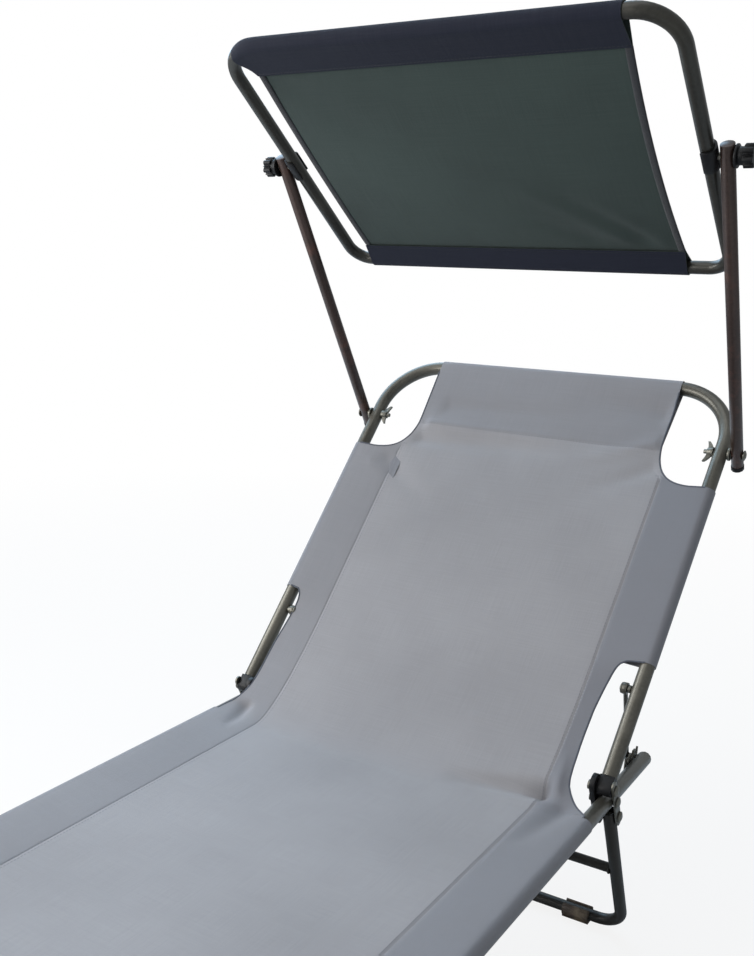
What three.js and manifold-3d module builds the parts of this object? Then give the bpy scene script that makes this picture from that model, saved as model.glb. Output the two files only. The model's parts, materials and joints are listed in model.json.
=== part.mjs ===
// Folding sun lounger with a tilting canopy, in millimetres, +Z up, standing on Z = 0.
// +Y runs from the foot end to the head end and +X is the sitter's left-hand side seen from the front.
import * as THREE from 'three';
import { mergeVertices } from 'three/addons/utils/BufferGeometryUtils.js';
import Module from 'manifold-3d';

const wasm = await Module();
wasm.setup();

// Angles in degrees from level, seen along X, as the lounger stands
const RECLINE = 46;
const ARM_ANGLE = 122;
const CANOPY_ANGLE = 143;
const STAY_ANGLE = -71.6;
const LEG_LEAN = 26.5;

// Frame tubes
const TUBE_RADIUS = 9.5;
const TUBE_WALL = 1.2;
const RAIL_HALF_SPACING = 270;
const BACK_LENGTH = 590;
const SEAT_LENGTH = 625;
const FOOT_LENGTH = 631;
const REAR_OVERHANG = 145;
const CORNER_BEND = 85;
const FIT_GAP = 0.3;
const CUT_OVERRUN = 2;

// Pivots: the backrest turns above its rail, the foot section above the rail ends
const HIP_RISE = 19.6;
const KNEE_RISE = 18;
const BOLT_RADIUS = 3;
const BOLT_CLEARANCE = 0.3;
const BOLT_HEAD_RADIUS = 7;
const BOLT_HEAD_HEIGHT = 3.2;
const BOLT_NUT_RADIUS = 6;
const BOLT_NUT_HEIGHT = 5;

// Legs
const LEG_RADIUS = 8;
const LEG_LENGTH = 249;
const LEG_DROP = 45;
const REAR_LEG_SET_BACK = 24;
const FRONT_LEG_INSET = 30;
const LEG_BEND = 36;
const LEG_TOP_OVERRUN = 7;
const BRACE_AT = 117;
const BRACE_RADIUS = 6.5;
const PAD_SPACING = 205;
const PAD_LENGTH = 38;
const PAD_RADIUS = 11.5;
const PAD_REACH = 12;
const PAD_SOLE_WIDTH = 15;
const PAD_MOUTH = 70;

// Hip hinge plates
const STRAP_THICKNESS = 2.5;
const STRAP_HALF_WIDTH = 6.25;
const STRAP_TOP = 8;
const STRAP_TAIL = 8;
const BLOCK_THICKNESS = 6;
const BLOCK_HALF_WIDTH = 12;
const BLOCK_TOP = 5;
const BLOCK_TAIL = 4;
const EYE_RADIUS = 9;
const EYE_HALF_WIDTH = 9;
const EYE_NECK = 14;
const EYE_PLUG = 16;

// Knee bracket, a channel under the joint with ears above it and lobes below it
const BRACKET_THICKNESS = 2;
const BRACKET_LENGTH = 58;
const BRACKET_NOSE = 12;
const KNEE_EYE_RADIUS = 7.5;
const LEG_LOBE_RADIUS = 10;
const TONGUE_THICKNESS = 6;
const TONGUE_LENGTH = 34;
const TONGUE_SINK = 1;
const BUTT_GAP = 1;
const CROSS_TUBE_RADIUS = 8;
const CROSS_TUBE_INSET = 76;
const CROSS_TUBE_DROP = 13;

// Rail end caps
const CAP_DOME = 5;
const CAP_PLUG = 16;

// Stays that prop the backrest and the racks their feet rest in
const STAY_BOLT_AT = 130;
const STAY_LENGTH = 110;
const STAY_RADIUS = 3;
const STAY_OFFSET = 17;
const STAY_EYE_RADIUS = 7.5;
const STAY_KNOB_RADIUS = 5.3;
const STAY_KNOB_OFFSET = 1;
const STAY_SPACER_RADIUS = 5;
const STAY_BOLT_REACH = 4.5;
const RACK_THICKNESS = 2.5;
const RACK_PITCH = 15;
const RACK_NOTCHES = 3;
const RACK_DEPTH = 13;
const RACK_TOOTH = 5;
const NOTCH_CLEARANCE = 0.5;

// Canopy arms, frame and fittings
const ARM_BOLT_AT = 490;
const ARM_LENGTH = 413;
const ARM_RADIUS = 8;
const ARM_OFFSET = 21.5;
const ARM_TAIL = 17.5;
const ARM_HEAD = 14;
const ARM_CAP_LIP = 0.7;
const ARM_CAP_LENGTH = 7;
const ARM_CAP_PLUG = 11;
const COLLAR_RADIUS = 9;
const CANOPY_HALF_WIDTH = 271.5;
const CANOPY_FRONT = 194;
const CANOPY_REAR = 190;
const CANOPY_RADIUS = 8;
const CANOPY_FRONT_BEND = 46;
const CANOPY_REAR_BEND = 28;
const JOINER_LENGTH = 60;
const CLAMP_THICKNESS = 2.6;
const CLAMP_LENGTH = 30;
const KNOB_RADIUS = 17;
const KNOB_WAIST = 12.5;
const KNOB_LOBES = 6;
const KNOB_THICKNESS = 11;
const KNOB_HUB_RADIUS = 9.5;
const KNOB_HUB_LENGTH = 9;
const KNOB_STUD_RADIUS = 4;
const KNOB_STUD_REACH = 31;
const WING_HUB_RADIUS = 7;
const WING_HUB_LENGTH = 8;
const WING_SPAN = 16;
const WING_THICKNESS = 3;
const WING_LENGTH = 11;
const WING_ROOT = 4;

// Cloth: one sling, cut away at the hips, the knees and the four end corners, and the canopy
const CLOTH = 1.6;
const CLOTH_GAP = 0.35;
const SEAM_WIDTH = 10;
const SIDE_HEM = 66;
const END_HEM = 60;
const HIP_SEAT_EDGE = 52;
const HIP_BACK_EDGE = 172;
const HIP_WAIST = 224;
const STRIP_EDGE_INSET = 16;
const KNEE_SEAT_EDGE = 92;
const KNEE_FOOT_EDGE = 52;
const CORNER_CUT = 163;
const CORNER_SHOULDER = 70;
const CORNER_INSET = 80;
const STRIP_GAP = 0.5;
const CANOPY_CLOTH_HALF_WIDTH = 234;
const CANOPY_CLOTH_SHIFT = -14;
const CANOPY_FRONT_HEM = 44;
const CANOPY_REAR_HEM = 34;
const CANOPY_SAG = 12;

// Facets
const TUBE_SIDES = 14;
const BORE_SIDES = 8;
const SMALL_SIDES = 12;
const BEND_STEPS = 6;
const SLEEVE_STEPS = 12;
const STRIP_STEPS = 14;
const CANOPY_STEPS = 10;

const radians = THREE.MathUtils.degToRad;
const cosine = (angle) => Math.cos(radians(angle));
const sine = (angle) => Math.sin(radians(angle));
const SLEEVE_RADIUS = TUBE_RADIUS + CLOTH_GAP + CLOTH;
const ARM_SPACING = RAIL_HALF_SPACING + ARM_OFFSET;
const REAR_REACH = BACK_LENGTH * cosine(RECLINE) + SLEEVE_RADIUS;
const FRONT_REACH = SEAT_LENGTH + FOOT_LENGTH + SLEEVE_RADIUS;
const HIP_Y = (FRONT_REACH - REAR_REACH) / 2;
const HIP_Z = LEG_DROP + LEG_LENGTH * cosine(LEG_LEAN) + PAD_REACH;
const SIDES = [['left', -1], ['right', 1]];

// Materials
function finish(color, roughness, metalness) {
  return new THREE.MeshStandardMaterial({ color, roughness, metalness });
}

const steelPaint = finish(0x6b6962, 0.45, 0.6);
const armPaint = finish(0x3d3632, 0.4, 0.5);
const legPaint = finish(0x2f2d29, 0.5, 0.4);
const zincSteel = finish(0xa39e8c, 0.5, 0.7);
const blackPlastic = finish(0x18181a, 0.55, 0);
const padPlastic = finish(0x6a5d52, 0.7, 0);
const slingCloth = finish(0x8e9098, 0.9, 0);
const canopyCloth = finish(0x2f3640, 0.9, 0);

// A path given by its own stations, so that straights get no needless rings
class StationPath extends THREE.Curve {
  constructor(stations) {
    super();
    this.stations = stations;
  }
  getUtoTmapping(u) {
    return u;
  }
  getPoint(t, target = new THREE.Vector3()) {
    const place = t * (this.stations.length - 1);
    const index = Math.min(Math.floor(place), this.stations.length - 2);
    return target.lerpVectors(this.stations[index].point, this.stations[index + 1].point, place - index);
  }
  getTangent(t, target = new THREE.Vector3()) {
    const index = Math.round(t * (this.stations.length - 1));
    return target.copy(this.stations[index].tangent);
  }
}

// Turns the corners of a polyline into bends and returns its stations
function bendPath(corners, bends) {
  const stations = [];
  const last = corners.length - 1;
  corners.forEach((corner, i) => {
    const before = i > 0 ? corner.clone().sub(corners[i - 1]).normalize() : null;
    const after = i < last ? corners[i + 1].clone().sub(corner).normalize() : null;
    if (!before || !after) {
      stations.push({ point: corner.clone(), tangent: (before ?? after).clone() });
      return;
    }
    const turn = before.angleTo(after);
    const setBack = bends[i - 1] * Math.tan(turn / 2);
    const start = corner.clone().addScaledVector(before, -setBack);
    const side = after.clone().addScaledVector(before, -after.dot(before)).normalize();
    const centre = start.clone().addScaledVector(side, bends[i - 1]);
    for (let step = 0; step <= BEND_STEPS; step += 1) {
      const angle = (turn * step) / BEND_STEPS;
      const point = centre.clone().addScaledVector(side, -bends[i - 1] * Math.cos(angle))
        .addScaledVector(before, bends[i - 1] * Math.sin(angle));
      const tangent = before.clone().multiplyScalar(Math.cos(angle)).addScaledVector(side, Math.sin(angle));
      stations.push({ point, tangent });
    }
  });
  return stations;
}

// A section with openings: three.js turns the openings only under an anticlockwise outline
function sectionOf(outline, openings = []) {
  const section = new THREE.Shape(THREE.ShapeUtils.isClockWise(outline) ? [...outline].reverse() : outline);
  openings.forEach((opening) => section.holes.push(new THREE.Path(opening)));
  return section;
}

function ring(radius, sides, x = 0, y = 0) {
  return Array.from({ length: sides }, (_, i) => {
    const angle = (2 * Math.PI * i) / sides;
    return new THREE.Vector2(x + radius * Math.cos(angle), y + radius * Math.sin(angle));
  });
}

// A hollow tube, open at both ends, along bent stations
function tube(stations, radius, wall, sides = TUBE_SIDES, boreSides = BORE_SIDES) {
  const section = sectionOf(ring(radius, sides), [ring(radius - wall, boreSides)]);
  const path = new StationPath(stations);
  return new THREE.ExtrudeGeometry(section, { extrudePath: path, steps: stations.length - 1 });
}

const straight = (...corners) => bendPath(corners, []);

function rod(from, to, radius, sides = SMALL_SIDES) {
  const path = new StationPath(straight(from, to));
  return new THREE.ExtrudeGeometry(new THREE.Shape(ring(radius, sides)), { extrudePath: path, steps: 1 });
}

// A turned piece about X: the profile holds pairs of place along X and radius
function turned(profile, sides = SMALL_SIDES) {
  const points = profile.map(([place, radius]) => new THREE.Vector2(radius, place));
  return new THREE.LatheGeometry(points, sides).rotateZ(-Math.PI / 2);
}

// An outline drawn in the plane across X, with Y to the right and Z up, given its thickness along X
function plateAcross(outline, from, to) {
  const shape = outline instanceof THREE.Shape ? outline : new THREE.Shape(outline);
  const depth = to - from;
  const plate = new THREE.ExtrudeGeometry(shape, { depth, bevelEnabled: false, curveSegments: SMALL_SIDES });
  return plate.rotateY(Math.PI / 2).rotateX(Math.PI / 2).translate(from, 0, 0);
}

// A section drawn across Y, with X to the right and Z up, drawn out along Y
function drawnAlong(section, from, to) {
  const body = new THREE.ExtrudeGeometry(section, { depth: to - from, bevelEnabled: false });
  return body.rotateX(Math.PI / 2).translate(0, to, 0);
}

// Solids for cutting and joining
function solid(geometry) {
  const bare = geometry.clone();
  bare.deleteAttribute('normal');
  bare.deleteAttribute('uv');
  const merged = mergeVertices(bare, 1e-4);
  const body = new wasm.Manifold(new wasm.Mesh({
    numProp: 3,
    vertProperties: merged.attributes.position.array,
    triVerts: merged.index.array,
  }));
  return body;
}

function geometryOf(body) {
  const mesh = body.getMesh();
  const geometry = new THREE.BufferGeometry();
  geometry.setAttribute('position', new THREE.BufferAttribute(mesh.vertProperties, 3));
  geometry.setIndex(new THREE.BufferAttribute(mesh.triVerts, 1));
  geometry.computeVertexNormals();
  return geometry;
}

function joined(...pieces) {
  return geometryOf(pieces.map(solid).reduce((sum, piece) => sum.add(piece)));
}

function cut(piece, ...tools) {
  return geometryOf(tools.map(solid).reduce((rest, tool) => rest.subtract(tool), solid(piece)));
}

function part(parent, name, geometry, material) {
  const mesh = new THREE.Mesh(geometry, material);
  mesh.name = name;
  parent.add(mesh);
  return mesh;
}

function turnedGroup(parent, y, z, angle) {
  const group = new THREE.Group();
  group.position.set(0, y, z);
  group.rotation.x = radians(angle);
  parent.add(group);
  return group;
}

const at = (x, y, z = 0) => new THREE.Vector3(x, y, z);

// A bolt hole along X through whatever lies between two places
function boltHole(y, z, from, to, radius = BOLT_RADIUS + BOLT_CLEARANCE) {
  return rod(at(from, y, z), at(to, y, z), radius);
}

// A capsule outline round two points in the plane across X
function capsule(start, end, radius) {
  const along = end.clone().sub(start).angle();
  const half = Math.PI / 2;
  const shape = new THREE.Shape();
  shape.absarc(start.x, start.y, radius, along + half, along + 3 * half, false);
  shape.absarc(end.x, end.y, radius, along - half, along + half, false);
  return shape;
}

// Through bolt along X on one side: head outside, nut inside
function bolt(side, headFace, nutFace) {
  return sided(turned([
    [nutFace - BOLT_NUT_HEIGHT, 0],
    [nutFace - BOLT_NUT_HEIGHT, BOLT_NUT_RADIUS],
    [nutFace, BOLT_NUT_RADIUS],
    [nutFace, BOLT_RADIUS],
    [headFace, BOLT_RADIUS],
    [headFace, BOLT_HEAD_RADIUS],
    [headFace + BOLT_HEAD_HEIGHT / 2, BOLT_HEAD_RADIUS],
    [headFace + BOLT_HEAD_HEIGHT, BOLT_HEAD_RADIUS / 2],
    [headFace + BOLT_HEAD_HEIGHT, 0],
  ]), side);
}

// Pieces are drawn on the right, +X, and turned over for the left
function sided(geometry, side) {
  if (side > 0) return geometry;
  const mirror = geometry.index ? geometry.toNonIndexed() : geometry.clone();
  mirror.scale(-1, 1, 1);
  const position = mirror.attributes.position;
  for (let i = 0; i < position.count; i += 3) {
    const swap = new THREE.Vector3().fromBufferAttribute(position, i);
    position.setXYZ(i, position.getX(i + 1), position.getY(i + 1), position.getZ(i + 1));
    position.setXYZ(i + 1, swap.x, swap.y, swap.z);
  }
  mirror.computeVertexNormals();
  return mirror;
}

const lounger = new THREE.Group();
const seat = turnedGroup(lounger, HIP_Y, HIP_Z, 0);
const RAIL_Z = -HIP_RISE;
const INNER_FACE = RAIL_HALF_SPACING - TUBE_RADIUS - FIT_GAP;
const OUTER_FACE = RAIL_HALF_SPACING + TUBE_RADIUS + FIT_GAP;
const STRAP_OUTER = OUTER_FACE + STRAP_THICKNESS;
const BLOCK_INNER = INNER_FACE - BLOCK_THICKNESS;
const LEG_PIVOT = new THREE.Vector2(REAR_LEG_SET_BACK, -LEG_DROP);
const RAIL_BOLT = new THREE.Vector2((REAR_LEG_SET_BACK * HIP_RISE) / LEG_DROP, RAIL_Z);
const KNEE_Z = RAIL_Z + KNEE_RISE;
const FRONT_LEG_Y = -SEAT_LENGTH + FRONT_LEG_INSET;

// Seat section
function seatRail(side) {
  const front = at(RAIL_HALF_SPACING, -SEAT_LENGTH + BUTT_GAP, RAIL_Z);
  const rear = at(RAIL_HALF_SPACING, REAR_OVERHANG, RAIL_Z);
  const rail = tube(straight(front, rear), TUBE_RADIUS, TUBE_WALL);
  return sided(cut(rail, boltHole(RAIL_BOLT.x, RAIL_BOLT.y, BLOCK_INNER, STRAP_OUTER)), side);
}

function railCap(side) {
  const plug = TUBE_RADIUS - TUBE_WALL - FIT_GAP;
  const boreShare = Math.cos(Math.PI / BORE_SIDES);
  const cap = turned([
    [-CAP_PLUG, 0],
    [-CAP_PLUG, plug * boreShare],
    [FIT_GAP, plug * boreShare],
    [FIT_GAP, TUBE_RADIUS],
    [CAP_DOME / 2, TUBE_RADIUS * cosine(20)],
    [CAP_DOME, TUBE_RADIUS / 2],
    [CAP_DOME, 0],
  ]).rotateZ(Math.PI / 2);
  return sided(cap.translate(RAIL_HALF_SPACING, REAR_OVERHANG, RAIL_Z), side);
}

function hipPlate(side, outline, from, to) {
  const reach = [from - CUT_OVERRUN, to + CUT_OVERRUN];
  const places = [new THREE.Vector2(), RAIL_BOLT, LEG_PIVOT];
  const holes = places.map((place) => boltHole(place.x, place.y, ...reach));
  return sided(cut(plateAcross(outline, from, to), ...holes), side);
}

// Outline from above the hip pivot to below the leg pivot
function hipOutline(above, below, halfWidth) {
  const along = LEG_PIVOT.clone().normalize();
  const top = along.clone().multiplyScalar(-above);
  return capsule(top, LEG_PIVOT.clone().addScaledVector(along, below), halfWidth);
}

function hipStrap(side) {
  return hipPlate(side, hipOutline(STRAP_TOP, STRAP_TAIL, STRAP_HALF_WIDTH), OUTER_FACE, STRAP_OUTER);
}

function hipBlock(side) {
  return hipPlate(side, hipOutline(BLOCK_TOP, BLOCK_TAIL, BLOCK_HALF_WIDTH), BLOCK_INNER, INNER_FACE);
}

function hipBolt(side, place) {
  return bolt(side, STRAP_OUTER + FIT_GAP, BLOCK_INNER - FIT_GAP).translate(0, place.x, place.y);
}

const STAY_FOOT = new THREE.Vector2(
  STAY_BOLT_AT * cosine(RECLINE) + STAY_LENGTH * cosine(STAY_ANGLE),
  STAY_BOLT_AT * sine(RECLINE) + STAY_LENGTH * sine(STAY_ANGLE),
);

// Toothed plate on the inner face of the rail's rear overhang
function stayRack(side) {
  const half = (RACK_PITCH * RACK_NOTCHES) / 2;
  const top = STAY_FOOT.y + RACK_TOOTH;
  const plate = plateAcross([
    new THREE.Vector2(STAY_FOOT.x - half, RAIL_Z - RACK_DEPTH / 2),
    new THREE.Vector2(STAY_FOOT.x + half, RAIL_Z - RACK_DEPTH / 2),
    new THREE.Vector2(STAY_FOOT.x + half, top),
    new THREE.Vector2(STAY_FOOT.x - half, top),
  ], INNER_FACE - RACK_THICKNESS, INNER_FACE);
  const radius = STAY_RADIUS + NOTCH_CLEARANCE;
  const notches = Array.from({ length: RACK_NOTCHES }, (_, i) => {
    const y = STAY_FOOT.x + (i - (RACK_NOTCHES - 1) / 2) * RACK_PITCH;
    const mouth = new THREE.Vector2(y + RACK_TOOTH, top + CUT_OVERRUN + radius);
    const slot = capsule(new THREE.Vector2(y, STAY_FOOT.y), mouth, radius);
    return plateAcross(slot, INNER_FACE - RACK_THICKNESS - CUT_OVERRUN, INNER_FACE + CUT_OVERRUN);
  });
  return sided(cut(plate, ...notches), side);
}

// A box given in the plane across X, with its half thickness about the rail
function railBox(front, rear, bottom, top, half) {
  return plateAcross([
    new THREE.Vector2(front, bottom),
    new THREE.Vector2(rear, bottom),
    new THREE.Vector2(rear, top),
    new THREE.Vector2(front, top),
  ], RAIL_HALF_SPACING - half, RAIL_HALF_SPACING + half);
}

// Channel folded round the rail end: ears carry the foot section, lobes carry the front leg
function kneeBracket(side) {
  const inner = TUBE_RADIUS + FIT_GAP;
  const outer = inner + BRACKET_THICKNESS;
  const faces = [RAIL_HALF_SPACING - outer, RAIL_HALF_SPACING + outer];
  const front = -SEAT_LENGTH - BRACKET_NOSE;
  const rear = -SEAT_LENGTH + BRACKET_LENGTH;
  const base = RAIL_Z - outer;
  const knee = new THREE.Vector2(-SEAT_LENGTH, KNEE_Z);
  const leg = new THREE.Vector2(FRONT_LEG_Y, -LEG_DROP);
  const cheek = [
    new THREE.Vector2(rear, base),
    new THREE.Vector2(rear, RAIL_Z),
    new THREE.Vector2(knee.x + KNEE_EYE_RADIUS, KNEE_Z - KNEE_EYE_RADIUS),
    new THREE.Vector2(front, RAIL_Z),
    new THREE.Vector2(front, base),
  ];
  const ear = capsule(new THREE.Vector2(knee.x, RAIL_Z), knee, KNEE_EYE_RADIUS);
  const lobe = capsule(new THREE.Vector2(leg.x, RAIL_Z), leg, LEG_LOBE_RADIUS);
  const block = joined(...[cheek, ear, lobe].map((outline) => plateAcross(outline, ...faces)));
  const reach = [front - CUT_OVERRUN, rear + CUT_OVERRUN];
  const above = railBox(...reach, RAIL_Z - inner, KNEE_Z + 2 * KNEE_EYE_RADIUS, inner);
  const below = railBox(...reach, leg.y - 2 * LEG_LOBE_RADIUS, base, inner);
  const across = [faces[0] - CUT_OVERRUN, faces[1] + CUT_OVERRUN];
  const holes = [knee, leg].map((place) => boltHole(place.x, place.y, ...across));
  return sided(cut(block, above, below, ...holes), side);
}

function kneeBolt(side, y, z) {
  const face = TUBE_RADIUS + 2 * FIT_GAP + BRACKET_THICKNESS;
  return bolt(side, RAIL_HALF_SPACING + face, RAIL_HALF_SPACING - face).translate(0, y, z);
}

// Tube across under the rails, coped to fit them
function crossTube() {
  const z = RAIL_Z - CROSS_TUBE_DROP;
  const y = -SEAT_LENGTH + CROSS_TUBE_INSET;
  const reach = RAIL_HALF_SPACING - TUBE_RADIUS / 2;
  const bar = tube(straight(at(-reach, y, z), at(reach, y, z)), CROSS_TUBE_RADIUS, TUBE_WALL);
  const half = 2 * CROSS_TUBE_RADIUS;
  const rails = [-RAIL_HALF_SPACING, RAIL_HALF_SPACING].map((x) => (
    rod(at(x, y - half, RAIL_Z), at(x, y + half, RAIL_Z), TUBE_RADIUS + FIT_GAP, TUBE_SIDES)
  ));
  return cut(bar, ...rails);
}

// Cloth sections: a flat layer that opens into a sleeve round each tube
function sleeveArc(centre, radius, reach, side) {
  const turn = Math.PI - Math.acos(radius / reach);
  return Array.from({ length: SLEEVE_STEPS + 1 }, (_, i) => {
    const angle = turn - (2 * turn * i) / SLEEVE_STEPS;
    return new THREE.Vector2(centre + side * radius * Math.cos(angle), radius * Math.sin(angle));
  });
}

function sleeveBore(centre, tubeRadius, reach, side) {
  const bore = tubeRadius + CLOTH_GAP;
  const inside = reach - SEAM_WIDTH;
  return [new THREE.Vector2(centre - side * inside, 0), ...sleeveArc(centre, bore, inside, side)];
}

function slingSection() {
  const right = [
    new THREE.Vector2(RAIL_HALF_SPACING - SIDE_HEM, CLOTH / 2),
    ...sleeveArc(RAIL_HALF_SPACING, SLEEVE_RADIUS, SIDE_HEM, 1),
    new THREE.Vector2(RAIL_HALF_SPACING - SIDE_HEM, -CLOTH / 2),
  ];
  const left = right.map((point) => new THREE.Vector2(-point.x, point.y)).reverse();
  const bores = SIDES.map(([, side]) => sleeveBore(side * RAIL_HALF_SPACING, TUBE_RADIUS, SIDE_HEM, side));
  return sectionOf([...right, ...left], bores);
}

const sling = (from, to) => drawnAlong(slingSection(), from, to);

// The sling's end: narrow between the corner cuts, with a sleeve round the end bar
function slingEnd(barAt) {
  const width = RAIL_HALF_SPACING - CORNER_INSET;
  const start = barAt - CORNER_CUT;
  const hem = sectionOf([
    new THREE.Vector2(barAt - END_HEM - SEAM_WIDTH / 2, CLOTH / 2),
    new THREE.Vector2(barAt - END_HEM, CLOTH / 2),
    ...sleeveArc(barAt, SLEEVE_RADIUS, END_HEM, 1),
    new THREE.Vector2(barAt - END_HEM, -CLOTH / 2),
    new THREE.Vector2(barAt - END_HEM - SEAM_WIDTH / 2, -CLOTH / 2),
  ], [sleeveBore(barAt, TUBE_RADIUS, END_HEM, 1)]);
  const panel = new THREE.Shape();
  const shoulder = RAIL_HALF_SPACING - STRIP_EDGE_INSET;
  panel.moveTo(-shoulder, start - CLOTH);
  panel.lineTo(-shoulder, start);
  panel.quadraticCurveTo(-width, start, -width, start + CORNER_SHOULDER);
  panel.lineTo(-width, barAt - END_HEM);
  panel.lineTo(width, barAt - END_HEM);
  panel.lineTo(width, start + CORNER_SHOULDER);
  panel.quadraticCurveTo(width, start, shoulder, start);
  panel.lineTo(shoulder, start - CLOTH);
  const options = { depth: CLOTH, bevelEnabled: false, curveSegments: BEND_STEPS };
  const flat = new THREE.ExtrudeGeometry(panel, options).translate(0, 0, -CLOTH / 2);
  return joined(flat, plateAcross(hem, -width, width));
}

function slingPanel(from, barAt) {
  return joined(sling(from, barAt - CORNER_CUT), slingEnd(barAt));
}

// A strip of cloth bent along a side view, its edges drawn in towards a waist
function clothStrip(profile, halfWidths) {
  const rows = profile.length;
  const corners = [];
  profile.forEach((point, i) => {
    const ahead = profile[Math.min(i + 1, rows - 1)];
    const behind = profile[Math.max(i - 1, 0)];
    const along = ahead.clone().sub(behind).normalize();
    const lift = new THREE.Vector2(-along.y, along.x).multiplyScalar(CLOTH / 2);
    [[-1, 1], [1, 1], [1, -1], [-1, -1]].forEach(([side, face]) => {
      corners.push(side * halfWidths[i], point.x + face * lift.x, point.y + face * lift.y);
    });
  });
  const index = [0, 2, 1, 0, 3, 2];
  for (let i = 0; i < rows - 1; i += 1) {
    for (let j = 0; j < 4; j += 1) {
      const a = 4 * i + j;
      const b = 4 * i + ((j + 1) % 4);
      index.push(a, b, a + 4, b, b + 4, a + 4);
    }
  }
  const end = 4 * (rows - 1);
  index.push(end, end + 1, end + 2, end, end + 2, end + 3);
  const geometry = new THREE.BufferGeometry();
  geometry.setAttribute('position', new THREE.Float32BufferAttribute(corners, 3));
  geometry.setIndex(index);
  geometry.computeVertexNormals();
  return geometry;
}

function waistedStrip(start, control, end, waist, shoulder) {
  const curve = new THREE.QuadraticBezierCurve(start, control, end);
  const profile = curve.getPoints(STRIP_STEPS);
  const widths = profile.map((_, i) => waist + (shoulder - waist) * ((2 * i) / STRIP_STEPS - 1) ** 4);
  return clothStrip(profile, widths);
}

function hipCloth() {
  const start = new THREE.Vector2(-HIP_SEAT_EDGE + STRIP_GAP, RAIL_Z);
  const bend = new THREE.Vector2(RAIL_Z / Math.tan(radians(RECLINE)), RAIL_Z);
  const edge = HIP_BACK_EDGE - STRIP_GAP;
  const end = new THREE.Vector2(edge * cosine(RECLINE), edge * sine(RECLINE));
  return waistedStrip(start, bend, end, HIP_WAIST, RAIL_HALF_SPACING - STRIP_EDGE_INSET);
}

function kneeCloth() {
  const start = new THREE.Vector2(-SEAT_LENGTH - KNEE_FOOT_EDGE + STRIP_GAP, RAIL_Z);
  const end = new THREE.Vector2(-SEAT_LENGTH + KNEE_SEAT_EDGE - STRIP_GAP, RAIL_Z);
  const middle = start.clone().add(end).multiplyScalar(0.5);
  return waistedStrip(start, middle, end, HIP_WAIST, RAIL_HALF_SPACING - STRIP_EDGE_INSET);
}

function buildSeat() {
  SIDES.forEach(([name, side]) => {
    part(seat, `seat_rail_${name}`, seatRail(side), steelPaint);
    part(seat, `rail_cap_${name}`, railCap(side), blackPlastic);
    part(seat, `hip_strap_${name}`, hipStrap(side), zincSteel);
    part(seat, `hip_block_${name}`, hipBlock(side), blackPlastic);
    part(seat, `hip_bolt_${name}`, hipBolt(side, new THREE.Vector2()), zincSteel);
    part(seat, `rail_bolt_${name}`, hipBolt(side, RAIL_BOLT), zincSteel);
    part(seat, `rear_leg_bolt_${name}`, hipBolt(side, LEG_PIVOT), zincSteel);
    part(seat, `stay_rack_${name}`, stayRack(side), zincSteel);
    part(seat, `knee_bracket_${name}`, kneeBracket(side), steelPaint);
    part(seat, `knee_bolt_${name}`, kneeBolt(side, -SEAT_LENGTH, KNEE_Z), zincSteel);
    part(seat, `front_leg_bolt_${name}`, kneeBolt(side, FRONT_LEG_Y, -LEG_DROP), zincSteel);
  });
  const panel = sling(-SEAT_LENGTH + KNEE_SEAT_EDGE, -HIP_SEAT_EDGE).translate(0, 0, RAIL_Z);
  part(seat, 'seat_cross_tube', crossTube(), steelPaint);
  part(seat, 'seat_fabric', panel, slingCloth);
  part(seat, 'hip_fabric', hipCloth(), slingCloth);
  part(seat, 'knee_fabric', kneeCloth(), slingCloth);
}

// Legs: a bent tube from pivot to pivot, a welded brace and clip-on pads
function legFrame() {
  const top = -LEG_TOP_OVERRUN;
  const corners = [
    at(-RAIL_HALF_SPACING, top),
    at(-RAIL_HALF_SPACING, LEG_LENGTH),
    at(RAIL_HALF_SPACING, LEG_LENGTH),
    at(RAIL_HALF_SPACING, top),
  ];
  const loop = tube(bendPath(corners, [LEG_BEND, LEG_BEND]), LEG_RADIUS, TUBE_WALL);
  const ends = [at(-RAIL_HALF_SPACING, BRACE_AT), at(RAIL_HALF_SPACING, BRACE_AT)];
  const bar = rod(...ends, BRACE_RADIUS, BORE_SIDES);
  const shanks = [-RAIL_HALF_SPACING, RAIL_HALF_SPACING].map((x) => (
    rod(at(x, top), at(x, LEG_LENGTH - LEG_BEND), LEG_RADIUS - TUBE_WALL / 2, BORE_SIDES)
  ));
  const reach = RAIL_HALF_SPACING + LEG_RADIUS + CUT_OVERRUN;
  return cut(joined(loop, cut(bar, ...shanks)), boltHole(0, 0, -reach, reach));
}

// Clip over the bottom bar with its mouth upwards and a flat sole
function legPad(side) {
  const bore = LEG_RADIUS + FIT_GAP;
  const quarter = Math.PI / 2;
  const half = radians(PAD_MOUTH / 2);
  const shape = new THREE.Shape();
  shape.absarc(0, 0, bore, quarter + half, 5 * quarter - half, false);
  shape.lineTo(PAD_RADIUS * Math.cos(quarter - half), PAD_RADIUS * Math.sin(quarter - half));
  shape.absarc(0, 0, PAD_RADIUS, quarter - half, -quarter / 2, true);
  shape.lineTo(PAD_SOLE_WIDTH / 2, -PAD_REACH);
  shape.lineTo(-PAD_SOLE_WIDTH / 2, -PAD_REACH);
  shape.absarc(0, 0, PAD_RADIUS, -3 * quarter / 2, half - 3 * quarter, true);
  return plateAcross(shape, side * PAD_SPACING - PAD_LENGTH / 2, side * PAD_SPACING + PAD_LENGTH / 2);
}

function buildLeg(name, y, angle) {
  const leg = turnedGroup(seat, y, -LEG_DROP, angle);
  part(leg, `${name}_frame`, legFrame(), legPaint);
  const pads = turnedGroup(leg, LEG_LENGTH, 0, -angle);
  SIDES.forEach(([end, side]) => part(pads, `${name}_pad_${end}`, legPad(side), padPlastic));
}

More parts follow.
